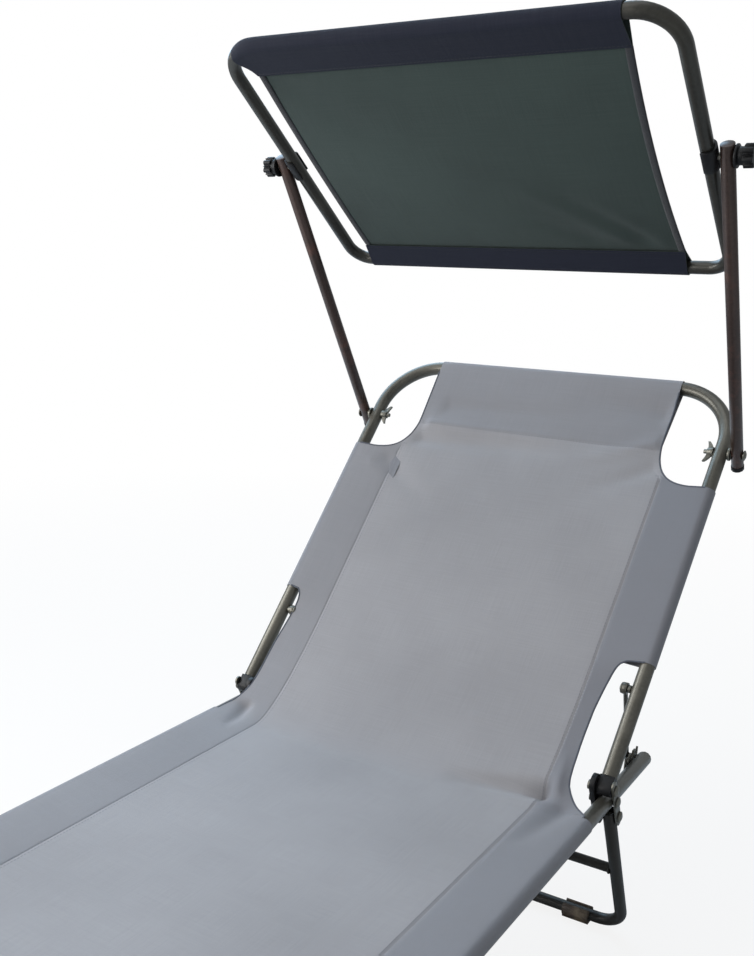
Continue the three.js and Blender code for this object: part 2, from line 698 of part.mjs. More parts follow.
// Backrest
function uFrame(length, start) {
  const corners = [
    at(-RAIL_HALF_SPACING, start),
    at(-RAIL_HALF_SPACING, length),
    at(RAIL_HALF_SPACING, length),
    at(RAIL_HALF_SPACING, start),
  ];
  return tube(bendPath(corners, [CORNER_BEND, CORNER_BEND]), TUBE_RADIUS, TUBE_WALL);
}

function backrestFrame() {
  const inward = RAIL_HALF_SPACING - 2 * TUBE_RADIUS;
  const outward = RAIL_HALF_SPACING + 2 * TUBE_RADIUS;
  const hole = (y, side, reach) => boltHole(y, 0, side * inward, side * reach);
  const armHoles = SIDES.map(([, side]) => hole(ARM_BOLT_AT, side, outward));
  const stayHoles = SIDES.map(([, side]) => hole(STAY_BOLT_AT, side, RAIL_HALF_SPACING));
  return cut(uFrame(BACK_LENGTH, EYE_NECK), ...armHoles, ...stayHoles);
}

function backrestEye(side) {
  const plug = (TUBE_RADIUS - TUBE_WALL - FIT_GAP) * Math.cos(Math.PI / BORE_SIDES);
  const x = RAIL_HALF_SPACING;
  const collar = EYE_NECK - FIT_GAP;
  const outline = capsule(new THREE.Vector2(), new THREE.Vector2(EYE_NECK, 0), EYE_RADIUS);
  const cheek = plateAcross(outline, x - EYE_HALF_WIDTH, x + EYE_HALF_WIDTH);
  const trim = rod(at(x, collar), at(x, collar + 2 * EYE_RADIUS), 2 * EYE_RADIUS);
  const neck = rod(at(x, 0), at(x, EYE_NECK + EYE_PLUG), plug);
  const shaped = joined(cut(cheek, trim), neck);
  return sided(cut(shaped, boltHole(0, 0, x - 2 * EYE_HALF_WIDTH, x + 2 * EYE_HALF_WIDTH)), side);
}

// Arm bolt: a shoulder between rail and arm, its thread reaching inwards for the wing nut
function armBolt(side) {
  const head = ARM_SPACING + ARM_RADIUS + FIT_GAP;
  const collar = [RAIL_HALF_SPACING + TUBE_RADIUS + FIT_GAP, ARM_SPACING - ARM_RADIUS - FIT_GAP];
  const tip = RAIL_HALF_SPACING - TUBE_RADIUS - WING_HUB_LENGTH - BOLT_NUT_HEIGHT;
  const profile = [
    [tip, 0],
    [tip, BOLT_RADIUS],
    [collar[0], BOLT_RADIUS],
    [collar[0], COLLAR_RADIUS],
    [collar[1], COLLAR_RADIUS],
    [collar[1], BOLT_RADIUS],
    [head, BOLT_RADIUS],
    [head, BOLT_HEAD_RADIUS],
    [head + BOLT_HEAD_HEIGHT / 2, BOLT_HEAD_RADIUS],
    [head + BOLT_HEAD_HEIGHT, BOLT_HEAD_RADIUS / 2],
    [head + BOLT_HEAD_HEIGHT, 0],
  ];
  return sided(turned(profile), side).translate(0, ARM_BOLT_AT, 0);
}

function wingNut(side) {
  const face = RAIL_HALF_SPACING - TUBE_RADIUS - FIT_GAP;
  const end = face - WING_HUB_LENGTH;
  const hub = turned([
    [end, 0],
    [end, WING_HUB_RADIUS * cosine(40)],
    [face, WING_HUB_RADIUS],
    [face, 0],
  ]);
  const outline = new THREE.Shape();
  outline.moveTo(face - WING_HUB_LENGTH / 4, -WING_ROOT);
  outline.quadraticCurveTo(face, -WING_SPAN / 2, end, -WING_SPAN);
  outline.lineTo(face - WING_LENGTH, -WING_SPAN);
  outline.quadraticCurveTo(end, -WING_SPAN / 2, end, -WING_ROOT);
  outline.lineTo(end, WING_ROOT);
  outline.quadraticCurveTo(end, WING_SPAN / 2, face - WING_LENGTH, WING_SPAN);
  outline.lineTo(end, WING_SPAN);
  outline.quadraticCurveTo(face, WING_SPAN / 2, face - WING_HUB_LENGTH / 4, WING_ROOT);
  const options = { depth: WING_THICKNESS, bevelEnabled: false, curveSegments: BEND_STEPS };
  const wings = new THREE.ExtrudeGeometry(outline, options).translate(0, 0, -WING_THICKNESS / 2);
  return sided(cut(joined(hub, wings), boltHole(0, 0, end - WING_LENGTH, face + CUT_OVERRUN)), side);
}

function stayBolt(side) {
  const face = RAIL_HALF_SPACING - STAY_OFFSET - STAY_RADIUS - FIT_GAP;
  const spacer = RAIL_HALF_SPACING - STAY_OFFSET + STAY_RADIUS + FIT_GAP;
  const tip = RAIL_HALF_SPACING - STAY_BOLT_REACH;
  const profile = [
    [face - BOLT_HEAD_HEIGHT, 0],
    [face - BOLT_HEAD_HEIGHT, BOLT_HEAD_RADIUS / 2],
    [face - BOLT_HEAD_HEIGHT / 2, BOLT_HEAD_RADIUS],
    [face, BOLT_HEAD_RADIUS],
    [face, BOLT_RADIUS],
    [spacer, BOLT_RADIUS],
    [spacer, STAY_SPACER_RADIUS],
    [INNER_FACE, STAY_SPACER_RADIUS],
    [INNER_FACE, BOLT_RADIUS],
    [tip, BOLT_RADIUS],
    [tip, 0],
  ];
  return sided(turned(profile), side).translate(0, STAY_BOLT_AT, 0);
}

function stayRod(side) {
  const x = RAIL_HALF_SPACING - STAY_OFFSET;
  const eye = plateAcross(ring(STAY_EYE_RADIUS, SMALL_SIDES), x - STAY_RADIUS, x + STAY_RADIUS);
  const bar = rod(at(x, 0), at(x, STAY_LENGTH), STAY_RADIUS, BORE_SIDES);
  return sided(cut(joined(eye, bar), boltHole(0, 0, x - 2 * STAY_RADIUS, x + 2 * STAY_RADIUS)), side);
}

function stayKnob(side) {
  const x = RAIL_HALF_SPACING - STAY_OFFSET - STAY_KNOB_OFFSET;
  const ball = new THREE.SphereGeometry(STAY_KNOB_RADIUS, SMALL_SIDES, BORE_SIDES);
  ball.translate(x, STAY_LENGTH, 0);
  const mouth = at(x + STAY_KNOB_OFFSET, STAY_LENGTH - 2 * STAY_KNOB_RADIUS);
  const bottom = at(x + STAY_KNOB_OFFSET, STAY_LENGTH + FIT_GAP);
  return sided(cut(ball, rod(mouth, bottom, STAY_RADIUS + FIT_GAP)), side);
}

function buildBackrest() {
  const back = turnedGroup(seat, 0, 0, RECLINE);
  part(back, 'backrest_frame', backrestFrame(), steelPaint);
  part(back, 'backrest_fabric', slingPanel(HIP_BACK_EDGE, BACK_LENGTH), slingCloth);
  const stays = turnedGroup(back, STAY_BOLT_AT, 0, STAY_ANGLE - RECLINE);
  const nuts = turnedGroup(back, ARM_BOLT_AT, 0, 0);
  SIDES.forEach(([name, side]) => {
    part(back, `backrest_eye_${name}`, backrestEye(side), blackPlastic);
    part(back, `stay_bolt_${name}`, stayBolt(side), zincSteel);
    part(back, `arm_bolt_${name}`, armBolt(side), zincSteel);
    part(nuts, `wing_nut_${name}`, wingNut(side), zincSteel);
    part(stays, `stay_${name}`, stayRod(side), steelPaint);
    part(stays, `stay_knob_${name}`, stayKnob(side), blackPlastic);
  });
  return back;
}

// Canopy arms outside the backrest rails
function canopyArm(side) {
  const end = ARM_LENGTH + ARM_HEAD;
  const arm = tube(straight(at(ARM_SPACING, -ARM_TAIL), at(ARM_SPACING, end)), ARM_RADIUS, TUBE_WALL);
  const lid = rod(at(ARM_SPACING, end - TUBE_WALL), at(ARM_SPACING, end), ARM_RADIUS - TUBE_WALL / 2);
  const reach = [ARM_SPACING - 2 * ARM_RADIUS, ARM_SPACING + 2 * ARM_RADIUS];
  const stud = KNOB_STUD_RADIUS + BOLT_CLEARANCE;
  const holes = [boltHole(0, 0, ...reach), boltHole(ARM_LENGTH, 0, ...reach, stud)];
  return sided(cut(joined(arm, lid), ...holes), side);
}

function armCap(side) {
  const plug = (ARM_RADIUS - TUBE_WALL - FIT_GAP) * Math.cos(Math.PI / BORE_SIDES);
  const cap = turned([
    [-ARM_CAP_LENGTH, 0],
    [-ARM_CAP_LENGTH, ARM_RADIUS - ARM_CAP_LIP],
    [ARM_CAP_LIP - ARM_CAP_LENGTH, ARM_RADIUS + ARM_CAP_LIP],
    [-FIT_GAP, ARM_RADIUS + ARM_CAP_LIP],
    [-FIT_GAP, plug],
    [ARM_CAP_PLUG, plug],
    [ARM_CAP_PLUG, 0],
  ]).rotateZ(Math.PI / 2);
  return sided(cap.translate(ARM_SPACING, -ARM_TAIL, 0), side);
}

// Canopy frame: one tube bent to a loop, its ends meeting under the rear hem on a joiner
function canopyPath() {
  const corners = [
    at(-FIT_GAP, -CANOPY_REAR),
    at(-CANOPY_HALF_WIDTH, -CANOPY_REAR),
    at(-CANOPY_HALF_WIDTH, CANOPY_FRONT),
    at(CANOPY_HALF_WIDTH, CANOPY_FRONT),
    at(CANOPY_HALF_WIDTH, -CANOPY_REAR),
    at(FIT_GAP, -CANOPY_REAR),
  ];
  const bends = [CANOPY_REAR_BEND, CANOPY_FRONT_BEND, CANOPY_FRONT_BEND, CANOPY_REAR_BEND];
  return bendPath(corners, bends);
}

function canopyFrame() {
  const loop = tube(canopyPath(), CANOPY_RADIUS, TUBE_WALL);
  const stud = KNOB_STUD_RADIUS + BOLT_CLEARANCE;
  const reach = CANOPY_HALF_WIDTH + 2 * CANOPY_RADIUS;
  const holes = SIDES.map(([, side]) => boltHole(0, 0, side * CANOPY_HALF_WIDTH, side * reach, stud));
  return cut(loop, ...holes);
}

function canopyJoiner() {
  const plug = (CANOPY_RADIUS - TUBE_WALL - FIT_GAP) * Math.cos(Math.PI / BORE_SIDES);
  return rod(at(-JOINER_LENGTH / 2, -CANOPY_REAR), at(JOINER_LENGTH / 2, -CANOPY_REAR), plug);
}

// Saddle round the side tube that the knob's stud draws against the arm
function canopyClamp(side) {
  const inner = CANOPY_RADIUS + FIT_GAP;
  const outer = inner + CLAMP_THICKNESS;
  const x = CANOPY_HALF_WIDTH;
  const section = new THREE.Shape();
  const open = Math.PI / 3;
  section.absarc(x, 0, inner, open - Math.PI, Math.PI - open, false);
  section.lineTo(x + outer * Math.cos(Math.PI - open), outer * Math.sin(Math.PI - open));
  section.absarc(x, 0, outer, Math.PI - open, open - Math.PI, true);
  const saddle = drawnAlong(section, -CLAMP_LENGTH / 2, CLAMP_LENGTH / 2);
  return sided(cut(saddle, boltHole(0, 0, x, x + 2 * outer, KNOB_STUD_RADIUS + BOLT_CLEARANCE)), side);
}

function canopySection() {
  const front = CANOPY_FRONT;
  const rear = CANOPY_REAR;
  const middle = (count, lift) => Array.from({ length: count + 1 }, (_, i) => {
    const share = i / count;
    const from = front - CANOPY_FRONT_HEM;
    const to = CANOPY_REAR_HEM - rear;
    const sag = CANOPY_SAG * 4 * share * (1 - share);
    return new THREE.Vector2(from + (to - from) * share, sag + lift);
  });
  const sleeve = CANOPY_RADIUS + CLOTH_GAP + CLOTH;
  return sectionOf([
    ...middle(CANOPY_STEPS, CLOTH / 2),
    ...sleeveArc(-rear, sleeve, CANOPY_REAR_HEM, -1),
    ...middle(CANOPY_STEPS, -CLOTH / 2).reverse(),
    ...sleeveArc(front, sleeve, CANOPY_FRONT_HEM, 1).reverse(),
  ], [
    sleeveBore(front, CANOPY_RADIUS, CANOPY_FRONT_HEM, 1),
    sleeveBore(-rear, CANOPY_RADIUS, CANOPY_REAR_HEM, -1),
  ]);
}

// The front sleeve reaches a little way round the left bend, so the loop is taken out of it
function canopyFabric() {
  const from = CANOPY_CLOTH_SHIFT - CANOPY_CLOTH_HALF_WIDTH;
  const path = canopyPath();
  const outline = new THREE.Shape(ring(CANOPY_RADIUS + CLOTH_GAP, TUBE_SIDES));
  const loop = new THREE.ExtrudeGeometry(outline, { extrudePath: new StationPath(path), steps: path.length - 1 });
  return cut(plateAcross(canopySection(), from, from + 2 * CANOPY_CLOTH_HALF_WIDTH), loop);
}

// Star knob with its stud, outside the arm
function canopyKnob(side) {
  const face = ARM_SPACING + ARM_RADIUS + FIT_GAP;
  const star = new THREE.Shape(Array.from({ length: 4 * KNOB_LOBES }, (_, i) => {
    const angle = (Math.PI * i) / (2 * KNOB_LOBES);
    const radius = i % 4 < 2 ? KNOB_RADIUS : KNOB_WAIST;
    return new THREE.Vector2(radius * Math.cos(angle), radius * Math.sin(angle));
  }));
  const head = plateAcross(star, face + KNOB_HUB_LENGTH, face + KNOB_HUB_LENGTH + KNOB_THICKNESS);
  const core = turned([
    [face - KNOB_STUD_REACH, 0],
    [face - KNOB_STUD_REACH, KNOB_STUD_RADIUS],
    [face, KNOB_STUD_RADIUS],
    [face, KNOB_WAIST],
    [face + KNOB_HUB_LENGTH / 3, KNOB_WAIST],
    [face + KNOB_HUB_LENGTH / 2, KNOB_HUB_RADIUS],
    [face + KNOB_HUB_LENGTH + KNOB_THICKNESS / 2, KNOB_HUB_RADIUS],
    [face + KNOB_HUB_LENGTH + KNOB_THICKNESS / 2, 0],
  ]);
  return sided(joined(head, core), side);
}

function buildCanopy(back) {
  const arms = turnedGroup(back, ARM_BOLT_AT, 0, ARM_ANGLE - RECLINE);
  const canopy = turnedGroup(arms, ARM_LENGTH, 0, CANOPY_ANGLE - ARM_ANGLE);
  SIDES.forEach(([name, side]) => {
    part(arms, `canopy_arm_${name}`, canopyArm(side), armPaint);
    part(arms, `arm_cap_${name}`, armCap(side), blackPlastic);
    part(canopy, `canopy_clamp_${name}`, canopyClamp(side), blackPlastic);
    part(canopy, `canopy_knob_${name}`, canopyKnob(side), blackPlastic);
  });
  part(canopy, 'canopy_frame', canopyFrame(), steelPaint);
  part(canopy, 'canopy_joiner', canopyJoiner(), zincSteel);
  part(canopy, 'canopy_fabric', canopyFabric(), canopyCloth);
}

// Foot section, folding up and over about the knee bolts
function footFrame() {
  const rail = uFrame(FOOT_LENGTH, BUTT_GAP);
  const drop = -KNEE_RISE;
  const top = drop + TUBE_RADIUS - TONGUE_SINK;
  const web = [
    new THREE.Vector2(KNEE_EYE_RADIUS / 2, top),
    new THREE.Vector2(TONGUE_LENGTH, top),
    new THREE.Vector2(KNEE_EYE_RADIUS, KNEE_EYE_RADIUS / 2),
    new THREE.Vector2(0, 0),
  ];
  const tongues = SIDES.map(([, side]) => {
    const x = side * RAIL_HALF_SPACING;
    const faces = [x - TONGUE_THICKNESS / 2, x + TONGUE_THICKNESS / 2];
    return joined(plateAcross(web, ...faces), plateAcross(ring(KNEE_EYE_RADIUS, SMALL_SIDES), ...faces));
  });
  const reach = [RAIL_HALF_SPACING - TUBE_RADIUS, RAIL_HALF_SPACING + TUBE_RADIUS];
  const holes = SIDES.map(([, side]) => boltHole(0, 0, side * reach[0], side * reach[1]));
  return cut(joined(rail.translate(0, 0, drop), ...tongues), ...holes);
}

function buildFoot() {
  const foot = turnedGroup(seat, -SEAT_LENGTH, KNEE_Z, 0);
  foot.rotation.z = Math.PI;
  part(foot, 'foot_frame', footFrame(), steelPaint);
  part(foot, 'foot_fabric', slingPanel(KNEE_FOOT_EDGE, FOOT_LENGTH).translate(0, 0, -KNEE_RISE), slingCloth);
}

buildSeat();
buildLeg('rear_leg', REAR_LEG_SET_BACK, LEG_LEAN - 90);
buildLeg('front_leg', FRONT_LEG_Y, -LEG_LEAN - 90);
buildCanopy(buildBackrest());
buildFoot();

export default lounger;
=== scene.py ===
"""Blender model of a folding sun lounger with a tilting canopy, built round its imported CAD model.

Lengths are in metres and +Z is up. The foot end lies towards -Y and the head end towards +Y.
"""

import json
import logging
import math
from dataclasses import dataclass, field
from enum import Enum
from typing import Iterable, Optional, Sequence

import bpy
from mathutils import Matrix, Vector
from mathutils.bvhtree import BVHTree


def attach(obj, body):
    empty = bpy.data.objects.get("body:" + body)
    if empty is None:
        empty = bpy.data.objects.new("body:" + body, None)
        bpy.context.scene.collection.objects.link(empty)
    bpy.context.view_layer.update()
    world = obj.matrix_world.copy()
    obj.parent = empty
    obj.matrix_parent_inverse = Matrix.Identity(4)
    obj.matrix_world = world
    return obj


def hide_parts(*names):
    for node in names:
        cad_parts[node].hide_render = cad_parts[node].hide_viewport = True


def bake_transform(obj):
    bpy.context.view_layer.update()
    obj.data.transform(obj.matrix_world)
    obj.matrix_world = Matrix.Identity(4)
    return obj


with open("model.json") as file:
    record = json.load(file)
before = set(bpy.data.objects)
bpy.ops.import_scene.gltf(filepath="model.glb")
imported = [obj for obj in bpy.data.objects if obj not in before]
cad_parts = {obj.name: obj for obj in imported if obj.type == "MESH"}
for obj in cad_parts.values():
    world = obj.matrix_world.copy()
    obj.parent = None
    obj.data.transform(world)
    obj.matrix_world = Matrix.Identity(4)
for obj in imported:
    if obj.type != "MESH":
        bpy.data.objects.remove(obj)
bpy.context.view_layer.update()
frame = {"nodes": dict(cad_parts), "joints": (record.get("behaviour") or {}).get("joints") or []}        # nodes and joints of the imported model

LOG = logging.getLogger("sun_lounger")
MM = 0.001
SMOOTH_ANGLE = 38.0
MERGE_GAP = 0.001 * MM
WELD_GAP = 0.01 * MM


class Side(Enum):
    """The two sides of the lounger, seen from its foot end."""

    LEFT = -1
    RIGHT = 1

    @property
    def word(self) -> str:
        """Returns the side's name as the nodes write it."""
        return self.name.lower()


class Coat(Enum):
    """The record's material slots."""

    STEEL = "steel_paint"
    ARM = "arm_paint"
    LEG = "leg_paint"
    ZINC = "zinc_steel"
    BLACK = "black_plastic"
    PAD = "pad_plastic"
    SLING = "sling_cloth"
    CANOPY = "canopy_cloth"


# Places


def joint_place(name: str) -> Vector:
    """Finds where a joint turns.

    Args:
        name: the joint's name in the record.

    Returns:
        Its place in the frame.
    """
    joint = next(j for j in frame["joints"] if j["name"] == name)
    return Vector(joint["pos_m"])


class Plane:
    """A plane that holds the X axis, met at a pivot and tilted as seen along X."""

    def __init__(self, pivot: Vector, angle: float, up: int = 1) -> None:
        """Args:
            pivot: the point that s and n are measured from.
            angle: the tilt in degrees of the direction s, from +Y towards +Z.
            up: 1 where n is a quarter turn on from s, -1 where it is a quarter turn back.
        """
        turn = math.radians(angle)
        self.pivot = Vector((0.0, pivot.y, pivot.z))
        self.along = Vector((0.0, math.cos(turn), math.sin(turn)))
        self.normal = Vector((0.0, -math.sin(turn), math.cos(turn))) * up

    def at(self, x: float, s: float, n: float = 0.0) -> Vector:
        """Args:
            x: place across the lounger.
            s: place along the plane.
            n: height over the plane.

        Returns:
            The point in the frame.
        """
        return self.pivot + Vector((x, 0.0, 0.0)) + self.along * s + self.normal * n


@dataclass(frozen=True)
class FrameSizes:
    """Sizes of the frame that several pieces share."""

    rail: float = 270 * MM
    tube: float = 9.5 * MM
    wall: float = 1.2 * MM
    hip_rise: float = 19.6 * MM
    knee_rise: float = 18 * MM
    seat: float = 625 * MM
    back: float = 590 * MM
    foot: float = 631 * MM
    recline: float = 46.0
    arm_angle: float = 122.0
    canopy_angle: float = 143.0
    leg_lean: float = 26.5


SIZES = FrameSizes()
HIP = joint_place("recline")
SEAT = Plane(HIP - Vector((0.0, 0.0, SIZES.hip_rise)), 0.0)
BACK = Plane(HIP, SIZES.recline)
FOOT = Plane(joint_place("foot_fold") - Vector((0.0, 0.0, SIZES.knee_rise)), 180.0, up=-1)
ARMS = Plane(joint_place("canopy_arm_swing"), SIZES.arm_angle)
CANOPY = Plane(joint_place("canopy_tilt"), SIZES.canopy_angle)
REAR_LEG = Plane(joint_place("rear_leg_fold"), SIZES.leg_lean - 90.0)
FRONT_LEG = Plane(joint_place("front_leg_fold"), -SIZES.leg_lean - 90.0)


# Modelling


def start_clean() -> None:
    """Leaves edit mode and deselects everything."""
    if bpy.context.object and bpy.context.object.mode != "OBJECT":
        bpy.ops.object.mode_set(mode="OBJECT")
    bpy.ops.object.select_all(action="DESELECT")


def only(piece: bpy.types.Object) -> None:
    """Selects one object and makes it the active one.

    Args:
        piece: the object.
    """
    start_clean()
    piece.select_set(True)
    bpy.context.view_layer.objects.active = piece


def settle(piece: bpy.types.Object, angle: float = SMOOTH_ANGLE) -> bpy.types.Object:
    """Applies a piece's modifiers and placement and shades it smooth below an angle.

    Args:
        piece: the object.
        angle: edges sharper than this, in degrees, stay sharp.

    Returns:
        The same object, standing at the origin.
    """
    only(piece)
    bpy.ops.object.convert(target="MESH")
    bpy.ops.object.transform_apply(location=True, rotation=True, scale=True)
    bpy.ops.object.shade_smooth_by_angle(angle=math.radians(angle))
    return piece


def bevel(piece: bpy.types.Object, width: float, segments: int = 2,
          angle: float = SMOOTH_ANGLE) -> None:
    """Adds a bevel on a piece's sharp edges.

    Args:
        piece: the object.
        width: the bevel's width.
        segments: its steps.
        angle: the least angle, in degrees, of an edge that it takes.
    """
    modifier = piece.modifiers.new("edges", "BEVEL")
    modifier.width = width
    modifier.segments = segments
    modifier.limit_method = "ANGLE"
    modifier.angle_limit = math.radians(angle)


def join(name: str, pieces: Sequence[bpy.types.Object]) -> bpy.types.Object:
    """Joins pieces into the first of them.

    Args:
        name: the joined piece's name.
        pieces: the objects.

    Returns:
        The joined object.
    """
    start_clean()
    for piece in pieces:
        piece.select_set(True)
    bpy.context.view_layer.objects.active = pieces[0]
    bpy.ops.object.join()
    joined = bpy.context.object
    joined.name = name
    joined.data.name = name
    return joined


def rod(name: str, radius: float, start: Vector, end: Vector, edge: float = 0.4 * MM,
        sides: int = 32) -> bpy.types.Object:
    """Makes a round bar from one point to another.

    Args:
        name: its name.
        radius: its radius.
        start: the middle of its first end.
        end: the middle of its second end.
        edge: the bevel round its ends.
        sides: its number of sides.

    Returns:
        The bar.
    """
    axis = end - start
    start_clean()
    bpy.ops.mesh.primitive_cylinder_add(
        vertices=sides, radius=radius, depth=axis.length, location=(start + end) / 2,
        rotation=axis.to_track_quat("Z", "Y").to_euler())
    piece = bpy.context.object
    piece.name = name
    bevel(piece, edge)
    return settle(piece)


def bead(name: str, reach: float, radius: float, place: Vector, axis: Vector) -> bpy.types.Object:
    """Makes a weld bead round a bar.

    Args:
        name: its name.
        reach: the radius of the ring that it runs along.
        radius: its own radius.
        place: the ring's middle.
        axis: the bar's direction.

    Returns:
        The bead.
    """
    start_clean()
    bpy.ops.mesh.primitive_torus_add(
        major_radius=reach, minor_radius=radius, major_segments=28, minor_segments=8,
        location=place, rotation=axis.to_track_quat("Z", "Y").to_euler())
    piece = bpy.context.object
    piece.name = name
    return settle(piece)


@dataclass(frozen=True)
class TubeSize:
    """The section of a tube and how finely it is made."""

    radius: float
    wall: float = SIZES.wall
    sides: int = 32
    bend_steps: int = 12


@dataclass
class BentTube:
    """A hollow tube led from corner to corner with a bend at each one."""

    name: str
    size: TubeSize
    corners: Sequence[Vector]
    bends: Sequence[float] = ()
    edge: float = 0.25 * MM

    def build(self) -> bpy.types.Object:
        """Returns:
            The tube as a mesh object.
        """
        first = (self.corners[1] - self.corners[0]).normalized()
        start_clean()
        bpy.ops.mesh.primitive_circle_add(
            vertices=self.size.sides, radius=self.size.radius, fill_type="NOTHING",
            location=self.corners[0], rotation=first.to_track_quat("Z", "Y").to_euler())
        piece = bpy.context.object
        piece.name = self.name
        bpy.ops.object.mode_set(mode="EDIT")
        bpy.ops.mesh.select_mode(type="VERT")
        bpy.ops.mesh.select_all(action="SELECT")
        here = self.corners[0]
        for before, corner, after, bend in self._turns():
            here = self._lead(here, before, corner, after, bend)
        self._draw(self.corners[-1] - here)
        bpy.ops.mesh.select_all(action="SELECT")
        bpy.ops.mesh.remove_doubles(threshold=MERGE_GAP)
        bpy.ops.mesh.normals_make_consistent(inside=False)
        bpy.ops.object.mode_set(mode="OBJECT")
        shell = piece.modifiers.new("wall", "SOLIDIFY")
        shell.thickness = self.size.wall
        shell.offset = -1.0
        bevel(piece, self.edge)
        return settle(piece)

    def _turns(self) -> Iterable[tuple[Vector, Vector, Vector, float]]:
        """Yields the direction before each inner corner, the corner, the direction after it and its bend."""
        for i, bend in enumerate(self.bends, 1):
            corner = self.corners[i]
            before = (corner - self.corners[i - 1]).normalized()
            after = (self.corners[i + 1] - corner).normalized()
            yield before, corner, after, bend

    def _lead(self, here: Vector, before: Vector, corner: Vector, after: Vector, bend: float) -> Vector:
        """Draws the tube up to a corner and round it.

        Args:
            here: where the open ring is.
            before: the direction up to the corner.
            corner: the corner.
            after: the direction after it.
            bend: the radius of the tube's middle line in the bend.

        Returns:
            Where the bend ends.
        """
        turn = before.angle(after)
        set_back = bend * math.tan(turn / 2)
        start = corner - before * set_back
        self._draw(start - here)
        side = (after - before * after.dot(before)).normalized()
        bpy.ops.mesh.spin(steps=self.size.bend_steps, dupli=False, angle=turn,
                          center=start + side * bend, axis=after.cross(before))
        return corner + after * set_back

    @staticmethod
    def _draw(step: Vector) -> None:
        """Draws the open ring out by a step.

        Args:
            step: the way that it goes.
        """
        if step.length > WELD_GAP:
            bpy.ops.mesh.extrude_region_move(TRANSFORM_OT_translate={"value": step})


# Shaders and finishes


def linear(code: str) -> tuple[float, float, float, float]:
    """Turns a written colour into the numbers that a shader takes.

    Args:
        code: six hexadecimal digits.

    Returns:
        Red, green, blue and 1.
    """
    shares = [int(code[i:i + 2], 16) / 255 for i in (0, 2, 4)]
    red, green, blue = (c / 12.92 if c <= 0.04045 else ((c + 0.055) / 1.055) ** 2.4 for c in shares)
    return red, green, blue, 1.0


